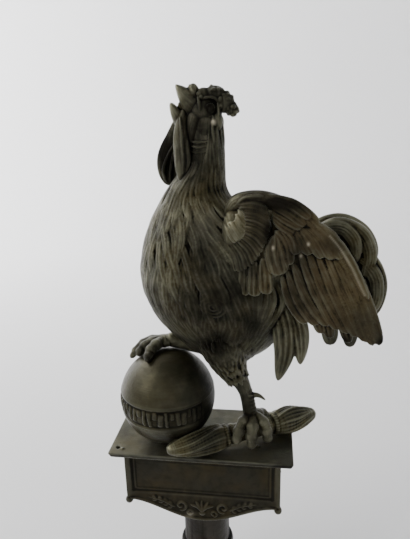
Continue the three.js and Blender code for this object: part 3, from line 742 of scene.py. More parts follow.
def wing(side):
    """A whole wing: its leading rim, shoulder, rows of feathers and the ring round the shoulder."""
    sunk = -2 - 2.5 * np.exp(-np.arange(len(WING_LEADING)))
    rim = wing_point(side, *(np.array(WING_LEADING) - [2.4, 4.4]).T, sunk)
    forms = [limb(rim, [3.6, 5.4, 5.4, 4.6, 3.8, 3.2, 2.8, 1.6], 20, 50)]
    forms.append(ball(wing_point(side, *SHOULDER), SHOULDER_SIZE, 28, 20))
    for lines, *how in FEATHER_ROWS:
        forms += [plume(side, line, *how) for line in lines]
    forms += [plume(side, line, half, 3.0, 1.7, 4, 0.25, 0.1) for half, line in INNER_FEATHERS]
    forms += ring(side)
    for line in SHOULDER_LINES:
        points = wing_point(side, *np.array(line).T, 2.2)
        forms.append(blade(points, even(1.4), even(1.3), (0, side, 0.2), 12, 24))
    return forms


# The tail

def tail():
    """The rump, the tail's core and the sickle feathers on both sides of it."""
    forms = [ball((60, 0, 258), (24, 17.3, 25), 32, 24)]
    forms += [ball((86, 0, 270), (19, 6, 20), 32, 24), ball((99, 0, 254), (13, 5, 22), 32, 24)]
    for across, half, arch in SICKLES:
        for side in ([1] if across == 0 else [-1, 1]):
            points = [[x, side * (across + 0.8 * i), z] for i, (x, z) in enumerate(arch)]
            forms.append(blade(points, plumed(half), even(2.3, 3), (0, side, 0), 44, 44, 0.75, 6, 0.2, True))
    return forms


def hanging(side):
    """The broad feathers that hang on one side under the tail."""
    forms = []
    for i, (half, line) in enumerate(HANGING):
        points = [[x, side * (19 - 2 * i), z] for x, z in line]
        forms.append(blade(points, tress(half), even(2.8, 3), (0.2, side, 0), 44, 40, 0.8, 5, 0.3, True))
    return forms


# The legs

def toe(points):
    """A toe with a swollen pad at each joint."""
    line = path(points)
    pads = ((0.3, 4.6), (0.56, 4.4), (0.8, 3.7))
    return [limb(points, [4.2, 3.9, 3.4, 2.2], 14, 24)] + [
        ball(line(t), (size, size, size * 0.9), 14, 10) for t, size in pads
    ]


def spur(*points):
    return blade(points, narrowing(2.6, 0.6), narrowing(2.6, 0.6), (0.1, -1, 0.1), 12, 16)


def scales(points, radius, count, side):
    """Broad scutes down the front of a shank."""
    line = path(points)
    forms = []
    for i in range(count):
        t = (i + 0.5) / count
        along = unit(line(t + 0.01) - line(t - 0.01))
        out = unit(np.cross(along, (0, side, 0.0)))
        forms.append(ball(line(t) - out * 0.9, (radius * 0.98, radius * 0.98, radius * 0.5), 14, 8))
    return forms


THIGH_FEATHER = 7.0


def thigh_feathers(line, radii, count):
    """Short feathers all over a thigh."""
    forms = []
    at = path(line)
    spots = np.linspace(0, 1, len(radii))
    for i in range(count):
        t = (i + chance.uniform(0, 1)) / count
        turn = chance.uniform(-np.pi, np.pi)
        here, ahead = at(t), min(t + 0.16, 1.0)
        along = unit(at(min(t + 0.02, 1.0)) - at(max(t - 0.02, 0)))
        side = unit(np.cross(along, (1.0, 0.3, 0)))
        out = side * math.cos(turn) + np.cross(along, side) * math.sin(turn)
        r0, r1 = np.interp([t, ahead], spots, radii)
        reach = unit(at(ahead) - here) * THIGH_FEATHER
        middle = here + reach * 0.5 + out * ((r0 + r1) / 2)
        points = [here + out * (r0 - 1.0), middle, here + reach + out * (r1 + 0.1)]
        forms.append(blade(points, leaf(0.9), even(0.5, 4), out, 8, 8))
    return forms


STANDING = [
    [12, -12, 232], [17, -14, 217], [20.4, -13.6, 205], [24.4, -13, 196.4],
    [28.6, -12.4, 189.6], [31.4, -12, 182], [33, -12, 174], [34.5, -12, 163],
]
STANDING_RADII = [17, 15.4, 11.6, 7.8, 5.6, 4.6, 4.5, 5.4]


def standing_leg():
    """The left leg, whose foot grips the thunderbolt."""
    foot = [36.5, -12, 164.5]
    forms = [limb(STANDING, STANDING_RADII, 28, 48)]
    forms.append(spur([33, -12, 179.6], [40, -12, 180], [45.4, -12, 176.4]))
    forms += toe([foot, [36.5, -21, 160], [36, -24, 152], [36.5, -22.5, 145]])
    forms += toe([foot, [44, -16, 161], [46.5, -18, 153], [47, -16.5, 146.5]])
    forms += toe([foot, [30, -18, 161.5], [26.4, -23.6, 155], [25.4, -24, 148.5]])
    forms += toe([foot, [40, -6, 161.5], [43.6, 0, 158], [45.6, 4, 152.5]])
    forms += thigh_feathers(STANDING[:4], STANDING_RADII[:4], 520)
    forms += scales([[28.6, -12.4, 189.6], [31.4, -12, 182], [33, -12, 174], [34.5, -12, 166]], 4.6, 9, -1)
    return forms


RAISED = [[8, 11, 234], [14, 12.4, 222], [16, 12, 213], [13, 10, 206]]
RAISED_RADII = [17, 13.6, 9.4, 6]


def raised_leg():
    """The right leg, whose foot lies on the globe."""
    palm = [-28, 4, 211.4]
    shank = [[14, 10, 206.4], [1, 7, 205.6], [-13, 5.6, 209], [-27, 4.4, 213.6]]
    forms = [limb(RAISED, RAISED_RADII, 28, 30), limb(shank, [6, 4.8, 4.7, 5.6], 20, 36)]
    forms.append(ball(palm, (7.4, 6.4, 4.6)))
    forms += toe([palm, [-32.6, -4, 211.4], [-35.6, -10, 208.6], [-35.4, -18.4, 205.2]])
    forms += toe([palm, [-36.6, 1, 211], [-42.4, -1.8, 207.8], [-45.4, -7.4, 203.8]])
    forms += toe([palm, [-38, 6, 210.2], [-46, 5, 206], [-53.4, 1, 197.6]])
    forms += toe([palm, [-21, 9.6, 211.4], [-15, 15, 208], [-10, 20, 201]])
    forms += thigh_feathers(RAISED, RAISED_RADII, 260)
    forms += scales(shank[1:], 4.7, 8, 1)
    return forms


# The thunderbolt

def bolt_part(start, end, radius, sides, rows):
    """A turned form between two points, whose radius depends on the share along it and the angle round it."""
    t, angle, faces = barrel(sides, rows)
    axis = end - start
    turn = np.array(Vector((0, 0, 1)).rotation_difference(Vector(axis)).to_matrix())
    reach = radius(t, angle) * rounded(t, 24)
    local = np.stack([reach * np.cos(angle), reach * np.sin(angle), t * np.linalg.norm(axis)], -1)
    return local @ turn.T + start, faces


def bundle(tip, middle, length):
    """A spindle of twisted flames and the ribbed collars at its foot."""
    axis = unit(middle - tip)

    def at(distance):
        return tip + axis * distance

    def flames(t, angle):
        swell = BOLT_RADIUS * np.sin(np.pi * (0.06 + 0.62 * t)) ** 0.7
        sway = 3.2 * t + 0.5 * np.sin(2 * np.pi * t + 2 * angle)
        flute = 0.085 * (1 - 2 * np.abs(np.sin((FLUTES * angle + 2 * sway) / 2)) ** 0.7)
        flute *= np.sin(np.pi * t) ** 0.3
        hair = 0.035 * np.cos(3 * FLUTES * angle + 6 * sway) * np.sin(np.pi * t) ** 0.5
        return swell * (0.95 + flute + hair)

    forms = [bolt_part(at(0), at(length), flames, 160, 80)]
    for step in COLLAR_STEPS:

        def ribbed(t, angle, size=COLLAR_RADIUS - step * 0.14):
            return size * (0.97 + 0.035 * np.cos(26 * angle)) * (0.9 + 0.1 * np.sin(np.pi * t))

        forms.append(bolt_part(at(length + step - 1.6), at(length + step + 2.2), ribbed, 128, 16))
    return forms


def bolt():
    middle = (BOLT_LEFT + BOLT_RIGHT) / 2
    length = np.linalg.norm(BOLT_LEFT - BOLT_RIGHT)
    start, end = (BOLT_LEFT + (BOLT_RIGHT - BOLT_LEFT) * share for share in (0.3, 0.74))
    waist = bolt_part(start, end, lambda t, angle: BOLT_WAIST_RADIUS + 0 * t, 64, 48)
    left = bundle(BOLT_LEFT, middle, BUNDLE_LENGTH)
    right = bundle(BOLT_RIGHT, middle, length - BUNDLE_LENGTH - WAIST_LENGTH)
    return [waist, *left, *right]


# The globe

def globe():
    """A ball with a sunk band round its front that holds two rows of shallow raised strokes."""
    shape, faces = sphere(320, 120)
    angle = np.arctan2(shape[:, 1], shape[:, 0])
    z = shape[:, 2] * GLOBE_RADIUS
    run = (angle + np.pi) % (2 * np.pi)
    inside = np.clip((BAND_HALF - 0.6 - np.abs(z + 0.6)) / 0.5, 0, 1)
    front = np.clip((run - BAND_START) / 0.02, 0, 1) * np.clip((BAND_END - run) / 0.02, 0, 1)
    height = -BAND_DEPTH * inside * front
    for i in range(STROKES):
        middle = 0.3 + i * 0.12
        low = i % 3 == 1
        half = 2.6 if low else 5.8 - 0.4 * (i % 4)
        level = (2.2 if low else -0.6) - (i % 2) * 0.5
        lean = (0.0, 0.1, -0.06, 0.0, -0.12)[i % 5] * (z - level)
        stroke = np.clip(1.8 - np.abs((run - middle) * GLOBE_RADIUS - lean) / (0.6 + 0.16 * (i % 4)), 0, 1)
        stroke *= np.clip((half - np.abs(z - level)) / 0.5, 0, 1)
        height = height + STROKE_HEIGHT * stroke * inside * front
    line = np.exp(-(((z - BAND_HALF) / 0.55) ** 2)) * 0.4
    points = shape * (GLOBE_RADIUS + height + line)[:, None] + GLOBE
    points[:, 2] = np.maximum(points[:, 2], PLATE_TOP + GAP)
    return points, faces


def plain_mesh(name, form):
    """The mesh of one form as it is, with upright barbs."""
    mesh = bpy.data.meshes.new(name)
    points, faces = form
    mesh.from_pydata(points.tolist(), [], faces.tolist())
    paint(mesh, "barb_across", points[:, 2])
    paint(mesh, "barb_along", points[:, 0])
    return mesh


# The plate, box and socket

def underside(x):
    """The level of the box's brace-shaped lower edge."""
    x = np.asarray(x, float)
    bow = ((1 + np.cos(np.pi * np.clip(x / APRON_HALF, -1, 1))) / 2) ** 0.85
    return BOX_CORNER_LEVEL - APRON_DROP * bow


def upright(name, inset, top, near, far):
    """The box's front outline as an upright slab from y = near to y = far."""
    bm = bmesh.new()
    half = BOX_HALF_WIDTH - inset
    made = bmesh.ops.create_grid(bm, x_segments=60, y_segments=1, size=1)["verts"]
    for v in made:
        x = v.co.x * half
        v.co = Vector((x, near, top if v.co.y > 0 else float(underside(x)) + inset))
    faces = list({f for v in made for f in v.link_faces})
    moved = bmesh.ops.extrude_face_region(bm, geom=faces)["geom"]
    corners = [e for e in moved if isinstance(e, bmesh.types.BMVert)]
    bmesh.ops.translate(bm, verts=corners, vec=(0, far - near, 0))
    bmesh.ops.recalc_face_normals(bm, faces=bm.faces)
    return as_object(bm, name)


def mesh_of(bm, name):
    """The finished mesh of a bmesh, which is freed."""
    mesh = bpy.data.meshes.new(name)
    bm.to_mesh(mesh)
    bm.free()
    return mesh


def as_object(bm, name):
    return placed(name, mesh_of(bm, name))


def block(name, low, high):
    """A box between two corners."""
    bm = bmesh.new()
    bmesh.ops.create_cube(bm, size=1)
    low, high = Vector(low), Vector(high)
    for v in bm.verts:
        v.co = Vector([(low[k] + high[k]) / 2 + v.co[k] * (high[k] - low[k]) for k in range(3)])
    return as_object(bm, name)


def turned(profile, steps, merge):
    """The surface that a profile of radii and heights sweeps round the Z axis."""
    bm = bmesh.new()
    verts = [bm.verts.new((x, 0, z)) for x, z in profile]
    edges = [bm.edges.new(pair) for pair in zip(verts, verts[1:])]
    how = {"cent": (0, 0, 0), "axis": (0, 0, 1), "angle": 2 * math.pi, "steps": steps, "use_merge": True}
    bmesh.ops.spin(bm, geom=verts + edges, **how)
    bmesh.ops.remove_doubles(bm, verts=bm.verts, dist=merge)
    bmesh.ops.recalc_face_normals(bm, faces=bm.faces)
    return bm


def carved(base, cutters):
    """The base's mesh with the cutters taken out of it."""
    for cutter in cutters:
        cut = base.modifiers.new("cut", "BOOLEAN")
        cut.operation = "DIFFERENCE"
        cut.solver = "EXACT"
        cut.object = cutter
    made = settled(base)
    for obj in (base, *cutters):
        bpy.data.objects.remove(obj)
    return made


def triangles_of(mesh):
    """A mesh as a form to cast."""
    bm = bmesh.new()
    bm.from_mesh(mesh)
    bmesh.ops.triangulate(bm, faces=bm.faces)
    points = np.array([v.co for v in bm.verts])
    faces = np.array([[v.index for v in f.verts] for f in bm.faces])
    bm.free()
    return points, faces


RELIEF_FACE = -BOX_HALF_DEPTH - 0.1
FRONT_SIDE = (0, -1, 0)


def scroll(x, z, radius, hand, half):
    """A curl of the relief under the box, which winds in round a place in front view."""
    points = []
    for i in range(12):
        t = i / 11
        angle = math.pi * (0.4 + 2.3 * t)
        reach = radius + (1.0 - radius) * t
        points.append([x + hand * reach * math.cos(angle), RELIEF_FACE, z - reach * math.sin(angle)])
    return blade(points, even(half), even(0.9), FRONT_SIDE, 12, 40, 1.0, 1, 0.3)


def apron_relief():
    """The relief on the box's underside: a palmette between scrolls and leafy stems."""
    y = RELIEF_FACE
    forms = []
    for i in (-2, -1, 0, 1, 2):
        lean = i * 0.5
        leaf_line = [
            [0, y, 87], [5 * math.sin(lean * 0.8), y, 92], [10 * math.sin(lean), y, 88 + 9.5 * math.cos(lean)]
        ]
        forms.append(blade(leaf_line, leaf(1.6), even(1), FRONT_SIDE, 16, 20, 1.0, 1, 0.3))
    forms.append(ball((0, y, 86.4), (2.2, 1.2, 1.9)))
    for hand in (-1, 1):
        forms += [scroll(hand * 15.5, 92, 4.6, hand, 1.0), scroll(hand * 8.6, 86.6, 2.6, -hand, 0.8)]
        stem = [[hand * 20, y, 90], [hand * 28, y, 95], [hand * 40, y, 97.4]]
        forms.append(blade(stem, leaf(1.2, 0.4), even(0.9), FRONT_SIDE, 14, 28, 1.0, 1, 0.3))
        for k, foot in enumerate(path(stem)([0.15, 0.35, 0.55, 0.75])):
            for up in (-1, 1):
                tip = foot + np.array([hand * 3.2, 0, up * (3.0 - 0.45 * k)])
                middle = (foot + tip) / 2 + np.array([-hand * 0.6, 0, up * 0.5])
                forms.append(blade([foot, middle, tip], leaf(0.95), even(0.75), FRONT_SIDE, 10, 12))
    return forms


def box():
    """The hollow box: sunk panels and their frames, the underside's rims and relief, and knobs."""
    cutters = [
        upright("box_inner", BOX_WALL, BOX_TOP + 1, -BOX_HALF_DEPTH + BOX_WALL, BOX_HALF_DEPTH - BOX_WALL)
    ]
    for side in (-1, 1):
        near, far = sorted((side * (BOX_HALF_DEPTH - PANEL_SUNK), side * (BOX_HALF_DEPTH + 3)))
        cutters.append(block("panel", (-PANEL_HALF, near, PANEL_LOW), (PANEL_HALF, far, PANEL_HIGH)))
    outer = upright("box_outer", 0, BOX_TOP, -BOX_HALF_DEPTH, BOX_HALF_DEPTH)
    forms = [triangles_of(carved(outer, cutters))]
    right, low, high = PANEL_HALF - FRAME_INSET, PANEL_LOW + FRAME_INSET, PANEL_HIGH - FRAME_INSET
    corners = [(-right, low), (right, low), (right, high), (-right, high)]
    for side in (-1, 1):
        xs = np.linspace(-1, 1, 17) * (BOX_HALF_WIDTH - 2)
        rim = np.stack([xs, np.full(17, side * BOX_HALF_DEPTH), underside(xs) + 1.1], -1)
        forms.append(blade(rim, even(1.1, 30), even(0.9, 30), (0, side, 0), 12, 90))
        level = side * (BOX_HALF_DEPTH - PANEL_SUNK)
        for (x0, z0), (x1, z1) in zip(corners, corners[1:] + corners[:1]):
            edge = [[x0, level, z0], [x1, level, z1]]
            forms.append(blade(edge, even(0.5, 60), even(0.3, 60), (0, side, 0), 10, 60))
        for end in (-1, 1):
            knob = (end * (BOX_HALF_WIDTH - 1.5), side * (BOX_HALF_DEPTH - 1.5), BOX_CORNER_LEVEL - 1.4)
            forms.append(ball(knob, (KNOB_RADIUS,) * 3))
    return forms + apron_relief()


def plate():
    """The plate with its undercut edge, its screw holes and the stubs of two rivets."""
    bm = bmesh.new()
    bmesh.ops.create_cube(bm, size=2)
    for v in bm.verts:
        inset = PLATE_UNDERCUT if v.co.z < 0 else 0
        z = PLATE_TOP if v.co.z > 0 else PLATE_TOP - PLATE_THICKNESS
        v.co = Vector((v.co.x * (PLATE_HALF_WIDTH - inset), v.co.y * (PLATE_HALF_DEPTH - inset), z))
    bmesh.ops.bevel(bm, geom=bm.edges, offset=0.7, affect="EDGES", segments=3, profile=0.5, material=-1)
    base = as_object(bm, "plate_base")
    holes = []
    for end in (-1, 1):
        bm = bmesh.new()
        radii = {"radius1": SCREW_HOLE_RADIUS, "radius2": SCREW_HOLE_RADIUS}
        bmesh.ops.create_cone(bm, cap_ends=True, segments=40, depth=20, **radii)
        bmesh.ops.translate(bm, verts=bm.verts, vec=(end * SCREW_HOLE[0], end * SCREW_HOLE[1], PLATE_TOP))
        holes.append(as_object(bm, "hole"))
    stubs = [ball((40, -13.5, PLATE_TOP), (1.3, 1.3, 1.2)), ball((-55.6, -25.6, PLATE_TOP), (1.2, 1.0, 0.9))]
    return [triangles_of(carved(base, holes)), *stubs]


def socket():
    """The pole's socket, turned in one profile from the bore over the mouth and the ring to the neck."""
    top = BOX_CORNER_LEVEL - 6.3
    bulge = RING_RADIUS - NECK_RADIUS
    profile = [
        (0, BORE_DEPTH), (BORE_RADIUS, BORE_DEPTH), (BORE_RADIUS, 0), (MOUTH_RADIUS, 0), (MOUTH_RADIUS, 4),
        (SLEEVE_RADIUS, 5.6), (SLEEVE_RADIUS, RING_LEVEL - RING_HALF - 0.5),
    ]
    for u in np.linspace(-1, 1, 17):
        profile.append((NECK_RADIUS + bulge * math.sqrt(1 - u * u), RING_LEVEL + u * RING_HALF))
    profile += [(NECK_RADIUS, top), (0, top)]
    return [triangles_of(mesh_of(turned(profile, 120, 1e-4), "socket_turned"))]


# Finishes

RUBBED_METAL = (0.62, 0.56, 0.42)
BARE = {"metal": 0.85, "shine": 0.15}
# Metal and shine of the places painted dark, so that painted shade and stains lose their reflections
SHADED_AND_STAINED = {"metal": 0.1, "shine": 0.02}


def node(tree, kind, **settings):
    made = tree.nodes.new(kind)
    for key, value in settings.items():
        setattr(made, key, value)
    return made


def bronze(name, dark_patina_and_shade, ground, ridge, warm_tone_and_light, rough, barbs=0.0):
    """Patinated bronze: dark in its hollows, as patina and as painted shade, paler on its ridges, browner
    where it is warm, which on the globe is painted light, darkened with dimmed reflections in the places
    painted with shade, and rubbed to the metal in worn places.
    """
    material = bpy.data.materials.new(name)
    material.use_nodes = True
    tree = material.node_tree
    tree.nodes.clear()
    link = tree.links.new
    out = node(tree, "ShaderNodeOutputMaterial")
    shader = node(tree, "ShaderNodeBsdfPrincipled")
    link(shader.outputs[0], out.inputs[0])
    where = node(tree, "ShaderNodeTexCoord").outputs["Object"]

    def attribute(label):
        return node(tree, "ShaderNodeAttribute", attribute_name=label).outputs["Fac"]

    def noise(scale, detail=4.0, rough_share=0.55):
        made = node(tree, "ShaderNodeTexNoise")
        made.inputs["Scale"].default_value = scale
        made.inputs["Detail"].default_value = detail
        made.inputs["Roughness"].default_value = rough_share
        link(where, made.inputs["Vector"])
        return made.outputs["Fac"]

    def mapped(value, low, high, to_low=0.0, to_high=1.0):
        made = node(tree, "ShaderNodeMapRange")
        for key, number in zip(("From Min", "From Max", "To Min", "To Max"), (low, high, to_low, to_high)):
            made.inputs[key].default_value = number
        link(value, made.inputs["Value"])
        return made.outputs["Result"]

    def maths(operation, a, b):
        made = node(tree, "ShaderNodeMath", operation=operation)
        for socket_in, value in zip(made.inputs, (a, b)):
            if isinstance(value, (int, float)):
                socket_in.default_value = value
            else:
                link(value, socket_in)
        return made.outputs[0]

    def mixed(share, a, b):
        made = node(tree, "ShaderNodeMix", data_type="RGBA")
        link(share, made.inputs[0])
        for socket_in, value in zip((made.inputs[6], made.inputs[7]), (a, b)):
            if isinstance(value, tuple):
                socket_in.default_value = (*value, 1)
            else:
                link(value, socket_in)
        return made.outputs[2]

    def barb_lines(width):
        """Fine lines along the barbs, each about as wide as stated in millimetres."""
        lines = node(tree, "ShaderNodeCombineXYZ")
        link(maths("MULTIPLY", attribute("barb_across"), 1 / width), lines.inputs["X"])
        link(maths("MULTIPLY", attribute("barb_along"), 0.07 / width), lines.inputs["Y"])
        made = node(tree, "ShaderNodeTexNoise")
        made.inputs["Scale"].default_value = 1.0
        made.inputs["Detail"].default_value = 2.0
        link(lines.outputs[0], made.inputs["Vector"])
        return mapped(made.outputs["Fac"], 0.3, 0.7, -1.0, 1.0)

    fine, deep = attribute("fine_hollow"), attribute("deep_hollow")
    lines = barb_lines(1.0)
    hollow = maths("ADD", maths("MULTIPLY", fine, 0.45), deep)
    hollow = maths("ADD", hollow, mapped(noise(180), 0.3, 0.7, -0.2, 0.2))
    hollow = maths("ADD", hollow, maths("MULTIPLY", lines, 0.28 * barbs))
    brassy = tuple(c * k for c, k in zip(ground, (1.25, 1.1, 0.8)))
    colour = mixed(mapped(noise(38, 5), 0.4, 0.62), ground, brassy)
    patchy = mapped(noise(55, 4), 0.35, 0.6, 0.4, 1.0)
    # Warm tone: brown patina on the wings, and on the globe also painted light on its lit side
    colour = mixed(maths("MULTIPLY", attribute("warmth_and_light"), patchy), colour, warm_tone_and_light)
    colour = mixed(mapped(hollow, -0.1, -0.9), colour, ridge)
    # Painted shade in the hollows, together with the dark patina that gathers there
    colour = mixed(mapped(hollow, 0.02, 0.55), colour, dark_patina_and_shade)
    # Painted shade and stains, with random dark blotches of patina: the listed dark places take the dark
    # colour
    blotch_and_shade = maths("ADD", attribute("painted_shade_and_stain"), mapped(noise(32, 6), 0.4, 0.62, -0.2, 0.35))
    soot_and_shade = mapped(blotch_and_shade, 0.0, 0.9, 0.0, 0.95)
    colour = mixed(soot_and_shade, colour, dark_patina_and_shade)
    colour = mixed(attribute("rubbed"), colour, RUBBED_METAL)
    link(colour, shader.inputs["Base Color"])
    # Painted shade also dims the metal and shine of the dark places, so their reflections fade
    link(mapped(soot_and_shade, 0.0, 1.0, BARE["metal"], SHADED_AND_STAINED["metal"]), shader.inputs["Metallic"])
    link(mapped(soot_and_shade, 0.0, 1.0, BARE["shine"], SHADED_AND_STAINED["shine"]), shader.inputs["Specular IOR Level"])
    dull = maths("ADD", mapped(noise(240, 3), 0.3, 0.7, -0.1, 0.1), hollow)
    link(mapped(dull, -0.8, 0.8, rough - 0.1, rough + 0.22), shader.inputs["Roughness"])
    bump = node(tree, "ShaderNodeBump")
    bump.inputs["Strength"].default_value = 0.35
    bump.inputs["Distance"].default_value = 0.0004
    grit = maths("ADD", noise(900, 3), maths("MULTIPLY", noise(260, 3), 1.5))
    link(maths("SUBTRACT", grit, maths("MULTIPLY", lines, 1.1 * barbs)), bump.inputs["Height"])
    link(bump.outputs[0], shader.inputs["Normal"])
    return material


# Each bronze: its colour in hollows and painted shade, on even ground, on ridges and where it is warm, which
# on the globe is painted light, its roughness, and how much its barbs show
COCK_BRONZE = bronze(
    "cock bronze", (0.0045, 0.004, 0.0028), (0.04, 0.0388, 0.0255), (0.118, 0.114, 0.076), (0.08, 0.06, 0.03),
    0.45, 1.0,
)
GLOBE_BRONZE = bronze(
    "globe bronze", (0.005, 0.005, 0.0035), (0.028, 0.0268, 0.0165), (0.06, 0.057, 0.036),
    (0.046, 0.04, 0.022), 0.42, 0.3,
)
BOLT_BRONZE = bronze(
    "thunderbolt bronze", (0.004, 0.004, 0.003), (0.056, 0.055, 0.036), (0.125, 0.122, 0.08),
    (0.06, 0.05, 0.028), 0.45, 0.7,
)
PLATE_BRONZE = bronze(
    "plate bronze", (0.008, 0.008, 0.006), (0.06, 0.06, 0.044), (0.09, 0.088, 0.064), (0.06, 0.05, 0.03), 0.5
)
BOX_BRONZE = bronze(
    "box bronze", (0.011, 0.0103, 0.0075), (0.03, 0.028, 0.0195), (0.056, 0.053, 0.036), (0.12, 0.05, 0.03),
    0.5,
)
SOCKET_BRONZE = bronze(
    "socket bronze", (0.005, 0.0045, 0.004), (0.015, 0.0132, 0.0105), (0.035, 0.032, 0.026),
    (0.05, 0.04, 0.03), 0.5,
)


# The pieces

COCK = (COCK_BRONZE, "rooster", "cock_bronze")

# Places painted dark, painted shade and the cock's dark patina: the middle in side view, the reach both ways
# and the strength
# On the cock: painted shade under the wings, at the throat and between the parts, with the dark patina of the
# belly, thighs, feet and face
COCK_SHADE_AND_STAINS = [
    ([3, 254], (24, 17), 0.7), ([14, 224], (18, 16), 0.75), ([5, 282], (9, 15), 0.7),
    ([30, 262], (16, 14), 0.75), ([40, 240], (12, 16), 0.4), ([1, 355], (10, 15), 1.0),
    ([-20, 343], (8, 26), 0.75), ([22, 372], (9, 8), 0.7), ([12, 379], (9, 4), 0.3),
    ([10.6, 369], (4, 5), 0.7), ([0, 336], (9, 12), 0.5), ([-34, 209], (26, 9), 0.65),
    ([32, 172], (7, 12), 0.45), ([36, 151], (17, 10), 0.6), ([3, 340], (7, 11), 0.55),
    ([-42, 268], (14, 44), 0.2),
]
# On the near wing: painted shade in the gaps round the shoulder's ring and under the rows of feathers, with
# the wing's dark patina
WING_SHADE_AND_STAINS = [
    ([62, 287], (7, 9), 0.3), ([46, 300], (3, 9), 0.6), ([40, 282], (4, 5), 0.5), ([54, 318], (26, 6), 0.75),
    ([82, 296], (9, 9), 0.6), ([56, 264], (8, 14), 0.6), ([30, 309], (9, 6), 0.4), ([86, 236], (12, 4), 0.7),
    ([112, 236], (4, 7), 0.6), ([34, 290], (14, 24), 0.35),
]
# On the tail: painted shade where the wing shades it and under its lowest feathers
TAIL_SHADE = [([84, 250], (20, 16), 0.12), ([94, 218], (14, 9), 0.6)]
# On the globe: painted shade on the side away from the light, under the cock, and round its foot on the plate
GLOBE_SHADE = [([10, 165], (24, 60), 0.75), ([-25, 150], (60, 12), 0.3)]
# On the thunderbolt: painted darker by the globe's foot and along its middle
BOLT_DARK_PLACES = [([-24, 146], (8, 8), 0.5), ([0, 148], (24, 16), 0.25)]
# On the plate: its edge painted darker all round
PLATE_DARK_EDGE = [([0, PLATE_TOP - PLATE_THICKNESS / 2], (400, 1.7), 0.75)]

# Rubbed places: the middle, the reach each way and the strength
BREAST_RUB = [((13, -26, 309), (13, 18, 13), 0.05)]
EYE_RUB = [((12.2, -8.8, 361.8), (1.6, 2, 1.7), 0.35)]
PALMETTE_RUB = [((-9, -24, 84.5), (2.4, 3, 1.8), 0.35)]
WORN_EDGE = [[80, 299.6], [85, 293.6], [89.5, 286.6], [93.6, 279.6], [97, 272.6], [100.6, 265.6]]
WORN_SPOTS = [(68.5, 294.6), (48.8, 291.6), (64.5, 287.2)]
WING_RUB = [((x, 0, z), (0.6, 400, 0.7), 0.2) for x, _, z in in_side_view(WORN_EDGE)(np.linspace(0, 1, 36))]
WING_RUB += [((x, 0, z), (0.8, 400, 1.1), 0.4) for x, z in WORN_SPOTS]


def warm_feathers(co):
    """The wings turn brown away from the body."""
    return np.clip((co[:, 0] - 34) / 20, 0, 1) * 0.8


def lit_side_warmth(co):
    """The globe is painted browner and paler on the side that the cock faces, where the light falls: brown
    patina and painted light together.
    """
    return np.clip(0.4 - (co[:, 0] + 25) / 60, 0, 1)


BODY_FORMS = [torso(), *plumage(), *cape(), *whorl(-1), *whorl(1), *hanging(-1), *hanging(1)]
piece("cock_body", cast("cock_body", BODY_FORMS, 0.5, 190000), *COCK, shade_and_stain=COCK_SHADE_AND_STAINS, rub=BREAST_RUB)
piece("head", cast("head", [*head(), *hackle()], 0.4, 130000), *COCK, rub=EYE_RUB, shade_and_stain=COCK_SHADE_AND_STAINS)
piece("legs", cast("legs", [*standing_leg(), *raised_leg()], 0.5, 80000), *COCK, shade_and_stain=COCK_SHADE_AND_STAINS)
left_wing = cast("left_wing", wing(-1), 0.45, 140000)
piece("left_wing", left_wing, *COCK, rub=WING_RUB, shade_and_stain=WING_SHADE_AND_STAINS, warm_tone_and_light=warm_feathers)
piece("right_wing", cast("right_wing", wing(1), 0.5, 80000), *COCK, warm_tone_and_light=warm_feathers)
piece("tail", cast("tail", tail(), 0.5, 80000), *COCK, shade_and_stain=TAIL_SHADE)
globe_ball = plain_mesh("globe_ball", globe())
# The globe: painted light on its lit side, painted shade on the side away from the light and round its foot
piece("globe_ball", globe_ball, GLOBE_BRONZE, "globe", "globe_bronze", warm_tone_and_light=lit_side_warmth, shade_and_stain=GLOBE_SHADE)
thunderbolt = cast("thunderbolt_cast", bolt(), 0.5, 80000)
piece("thunderbolt_cast", thunderbolt, BOLT_BRONZE, "thunderbolt", "thunderbolt_bronze", shade_and_stain=BOLT_DARK_PLACES)
top_plate = cast("plate_cast", plate(), 0.5, 30000)
piece("plate_cast", top_plate, PLATE_BRONZE, "top_plate", "plate_bronze", shade_and_stain=PLATE_DARK_EDGE)
piece("box_cast", cast("box_cast", box(), 0.55, 70000), BOX_BRONZE, "box", "box_bronze", rub=PALMETTE_RUB)
piece("socket_cast", cast("socket_cast", socket(), 0.6, 30000), SOCKET_BRONZE, "socket", "socket_bronze")


# Camera, floor and lights

CAMERA = np.array([48.96, -319.13, 363.60])
YAW, PITCH, ROLL = -0.1412, 0.2924, 0.0262
FOCAL = 500
PHOTO_HEIGHT = 539
SENSOR = 36

FLOOR_RADIUS, FLOOR_CURVE, WALL_HEIGHT = 1.2, 1.2, 3.2


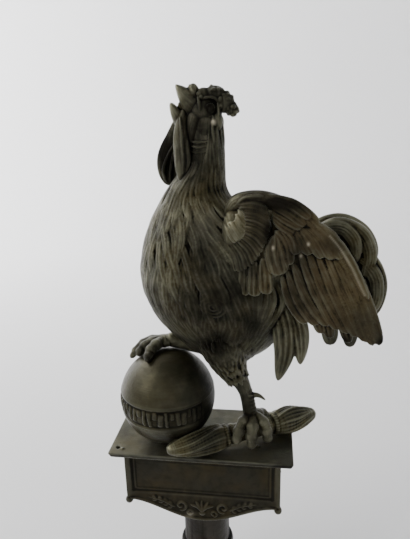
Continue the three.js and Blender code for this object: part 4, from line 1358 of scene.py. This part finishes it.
def photo_camera():
    """The camera that sees the finial as the photo does."""
    forward = np.array([math.sin(YAW) * math.cos(PITCH), math.cos(YAW) * math.cos(PITCH), -math.sin(PITCH)])
    right = np.array([math.cos(YAW), -math.sin(YAW), 0])
    down = np.cross(forward, right)
    across = math.cos(ROLL) * right + math.sin(ROLL) * down
    below = -math.sin(ROLL) * right + math.cos(ROLL) * down
    data = bpy.data.cameras.new("photo camera")
    data.sensor_width = SENSOR
    data.lens = FOCAL / PHOTO_HEIGHT * SENSOR
    data.clip_start = 0.01
    camera = placed("photo camera", data)
    turn = Matrix([across, -below, -forward]).transposed().to_4x4()
    camera.matrix_world = Matrix.Translation(Vector(CAMERA * MM)) @ turn
    bpy.context.scene.camera = camera


def backdrop():
    """A pale floor that curves up into a wall all round."""
    profile = [(0.0, 0.0), (FLOOR_RADIUS, 0.0)]
    for a in np.linspace(0.1, math.pi / 2, 14):
        profile.append((FLOOR_RADIUS + FLOOR_CURVE * math.sin(a), FLOOR_CURVE - FLOOR_CURVE * math.cos(a)))
    profile.append((FLOOR_RADIUS + FLOOR_CURVE, WALL_HEIGHT))
    bm = turned(profile, 96, 1e-5)
    bmesh.ops.reverse_faces(bm, faces=bm.faces)
    mesh = mesh_of(bm, "backdrop")
    mesh.shade_smooth()
    paper = bpy.data.materials.new("pale paper")
    paper.use_nodes = True
    shader = paper.node_tree.nodes["Principled BSDF"]
    shader.inputs["Base Color"].default_value = (0.74, 0.74, 0.745, 1)
    shader.inputs["Roughness"].default_value = 0.9
    mesh.materials.append(paper)
    placed("backdrop", mesh)


def softbox(name, place, target, size, power, tint=(1, 1, 1)):
    """A flat light at a place, turned to its target."""
    data = bpy.data.lights.new(name, "AREA")
    data.shape = "RECTANGLE"
    data.size, data.size_y = size
    data.energy = power
    data.color = tint
    light = placed(name, data)
    light.visible_camera = False
    light.location = place
    aim = Vector(target) - Vector(place)
    light.rotation_mode = "QUATERNION"
    light.rotation_quaternion = aim.to_track_quat("-Z", "Y")


photo_camera()
backdrop()
softbox("window", (-1.2, -0.6, 1.3), (0, 0, 0.22), (1.0, 1.0), 20, (1.0, 0.99, 0.97))
softbox("fill", (1.2, -1.3, 0.7), (0, 0, 0.2), (1.2, 1.2), 2)
softbox("wall", (-1.5, 0.6, 1.6), (-1.5, 2.3, 0.5), (1.4, 1.2), 120)
world = bpy.data.worlds.new("room")
world.use_nodes = True
world.node_tree.nodes["Background"].inputs["Color"].default_value = (0.95, 0.97, 1.0, 1)
world.node_tree.nodes["Background"].inputs["Strength"].default_value = 0.3
bpy.context.scene.world = world
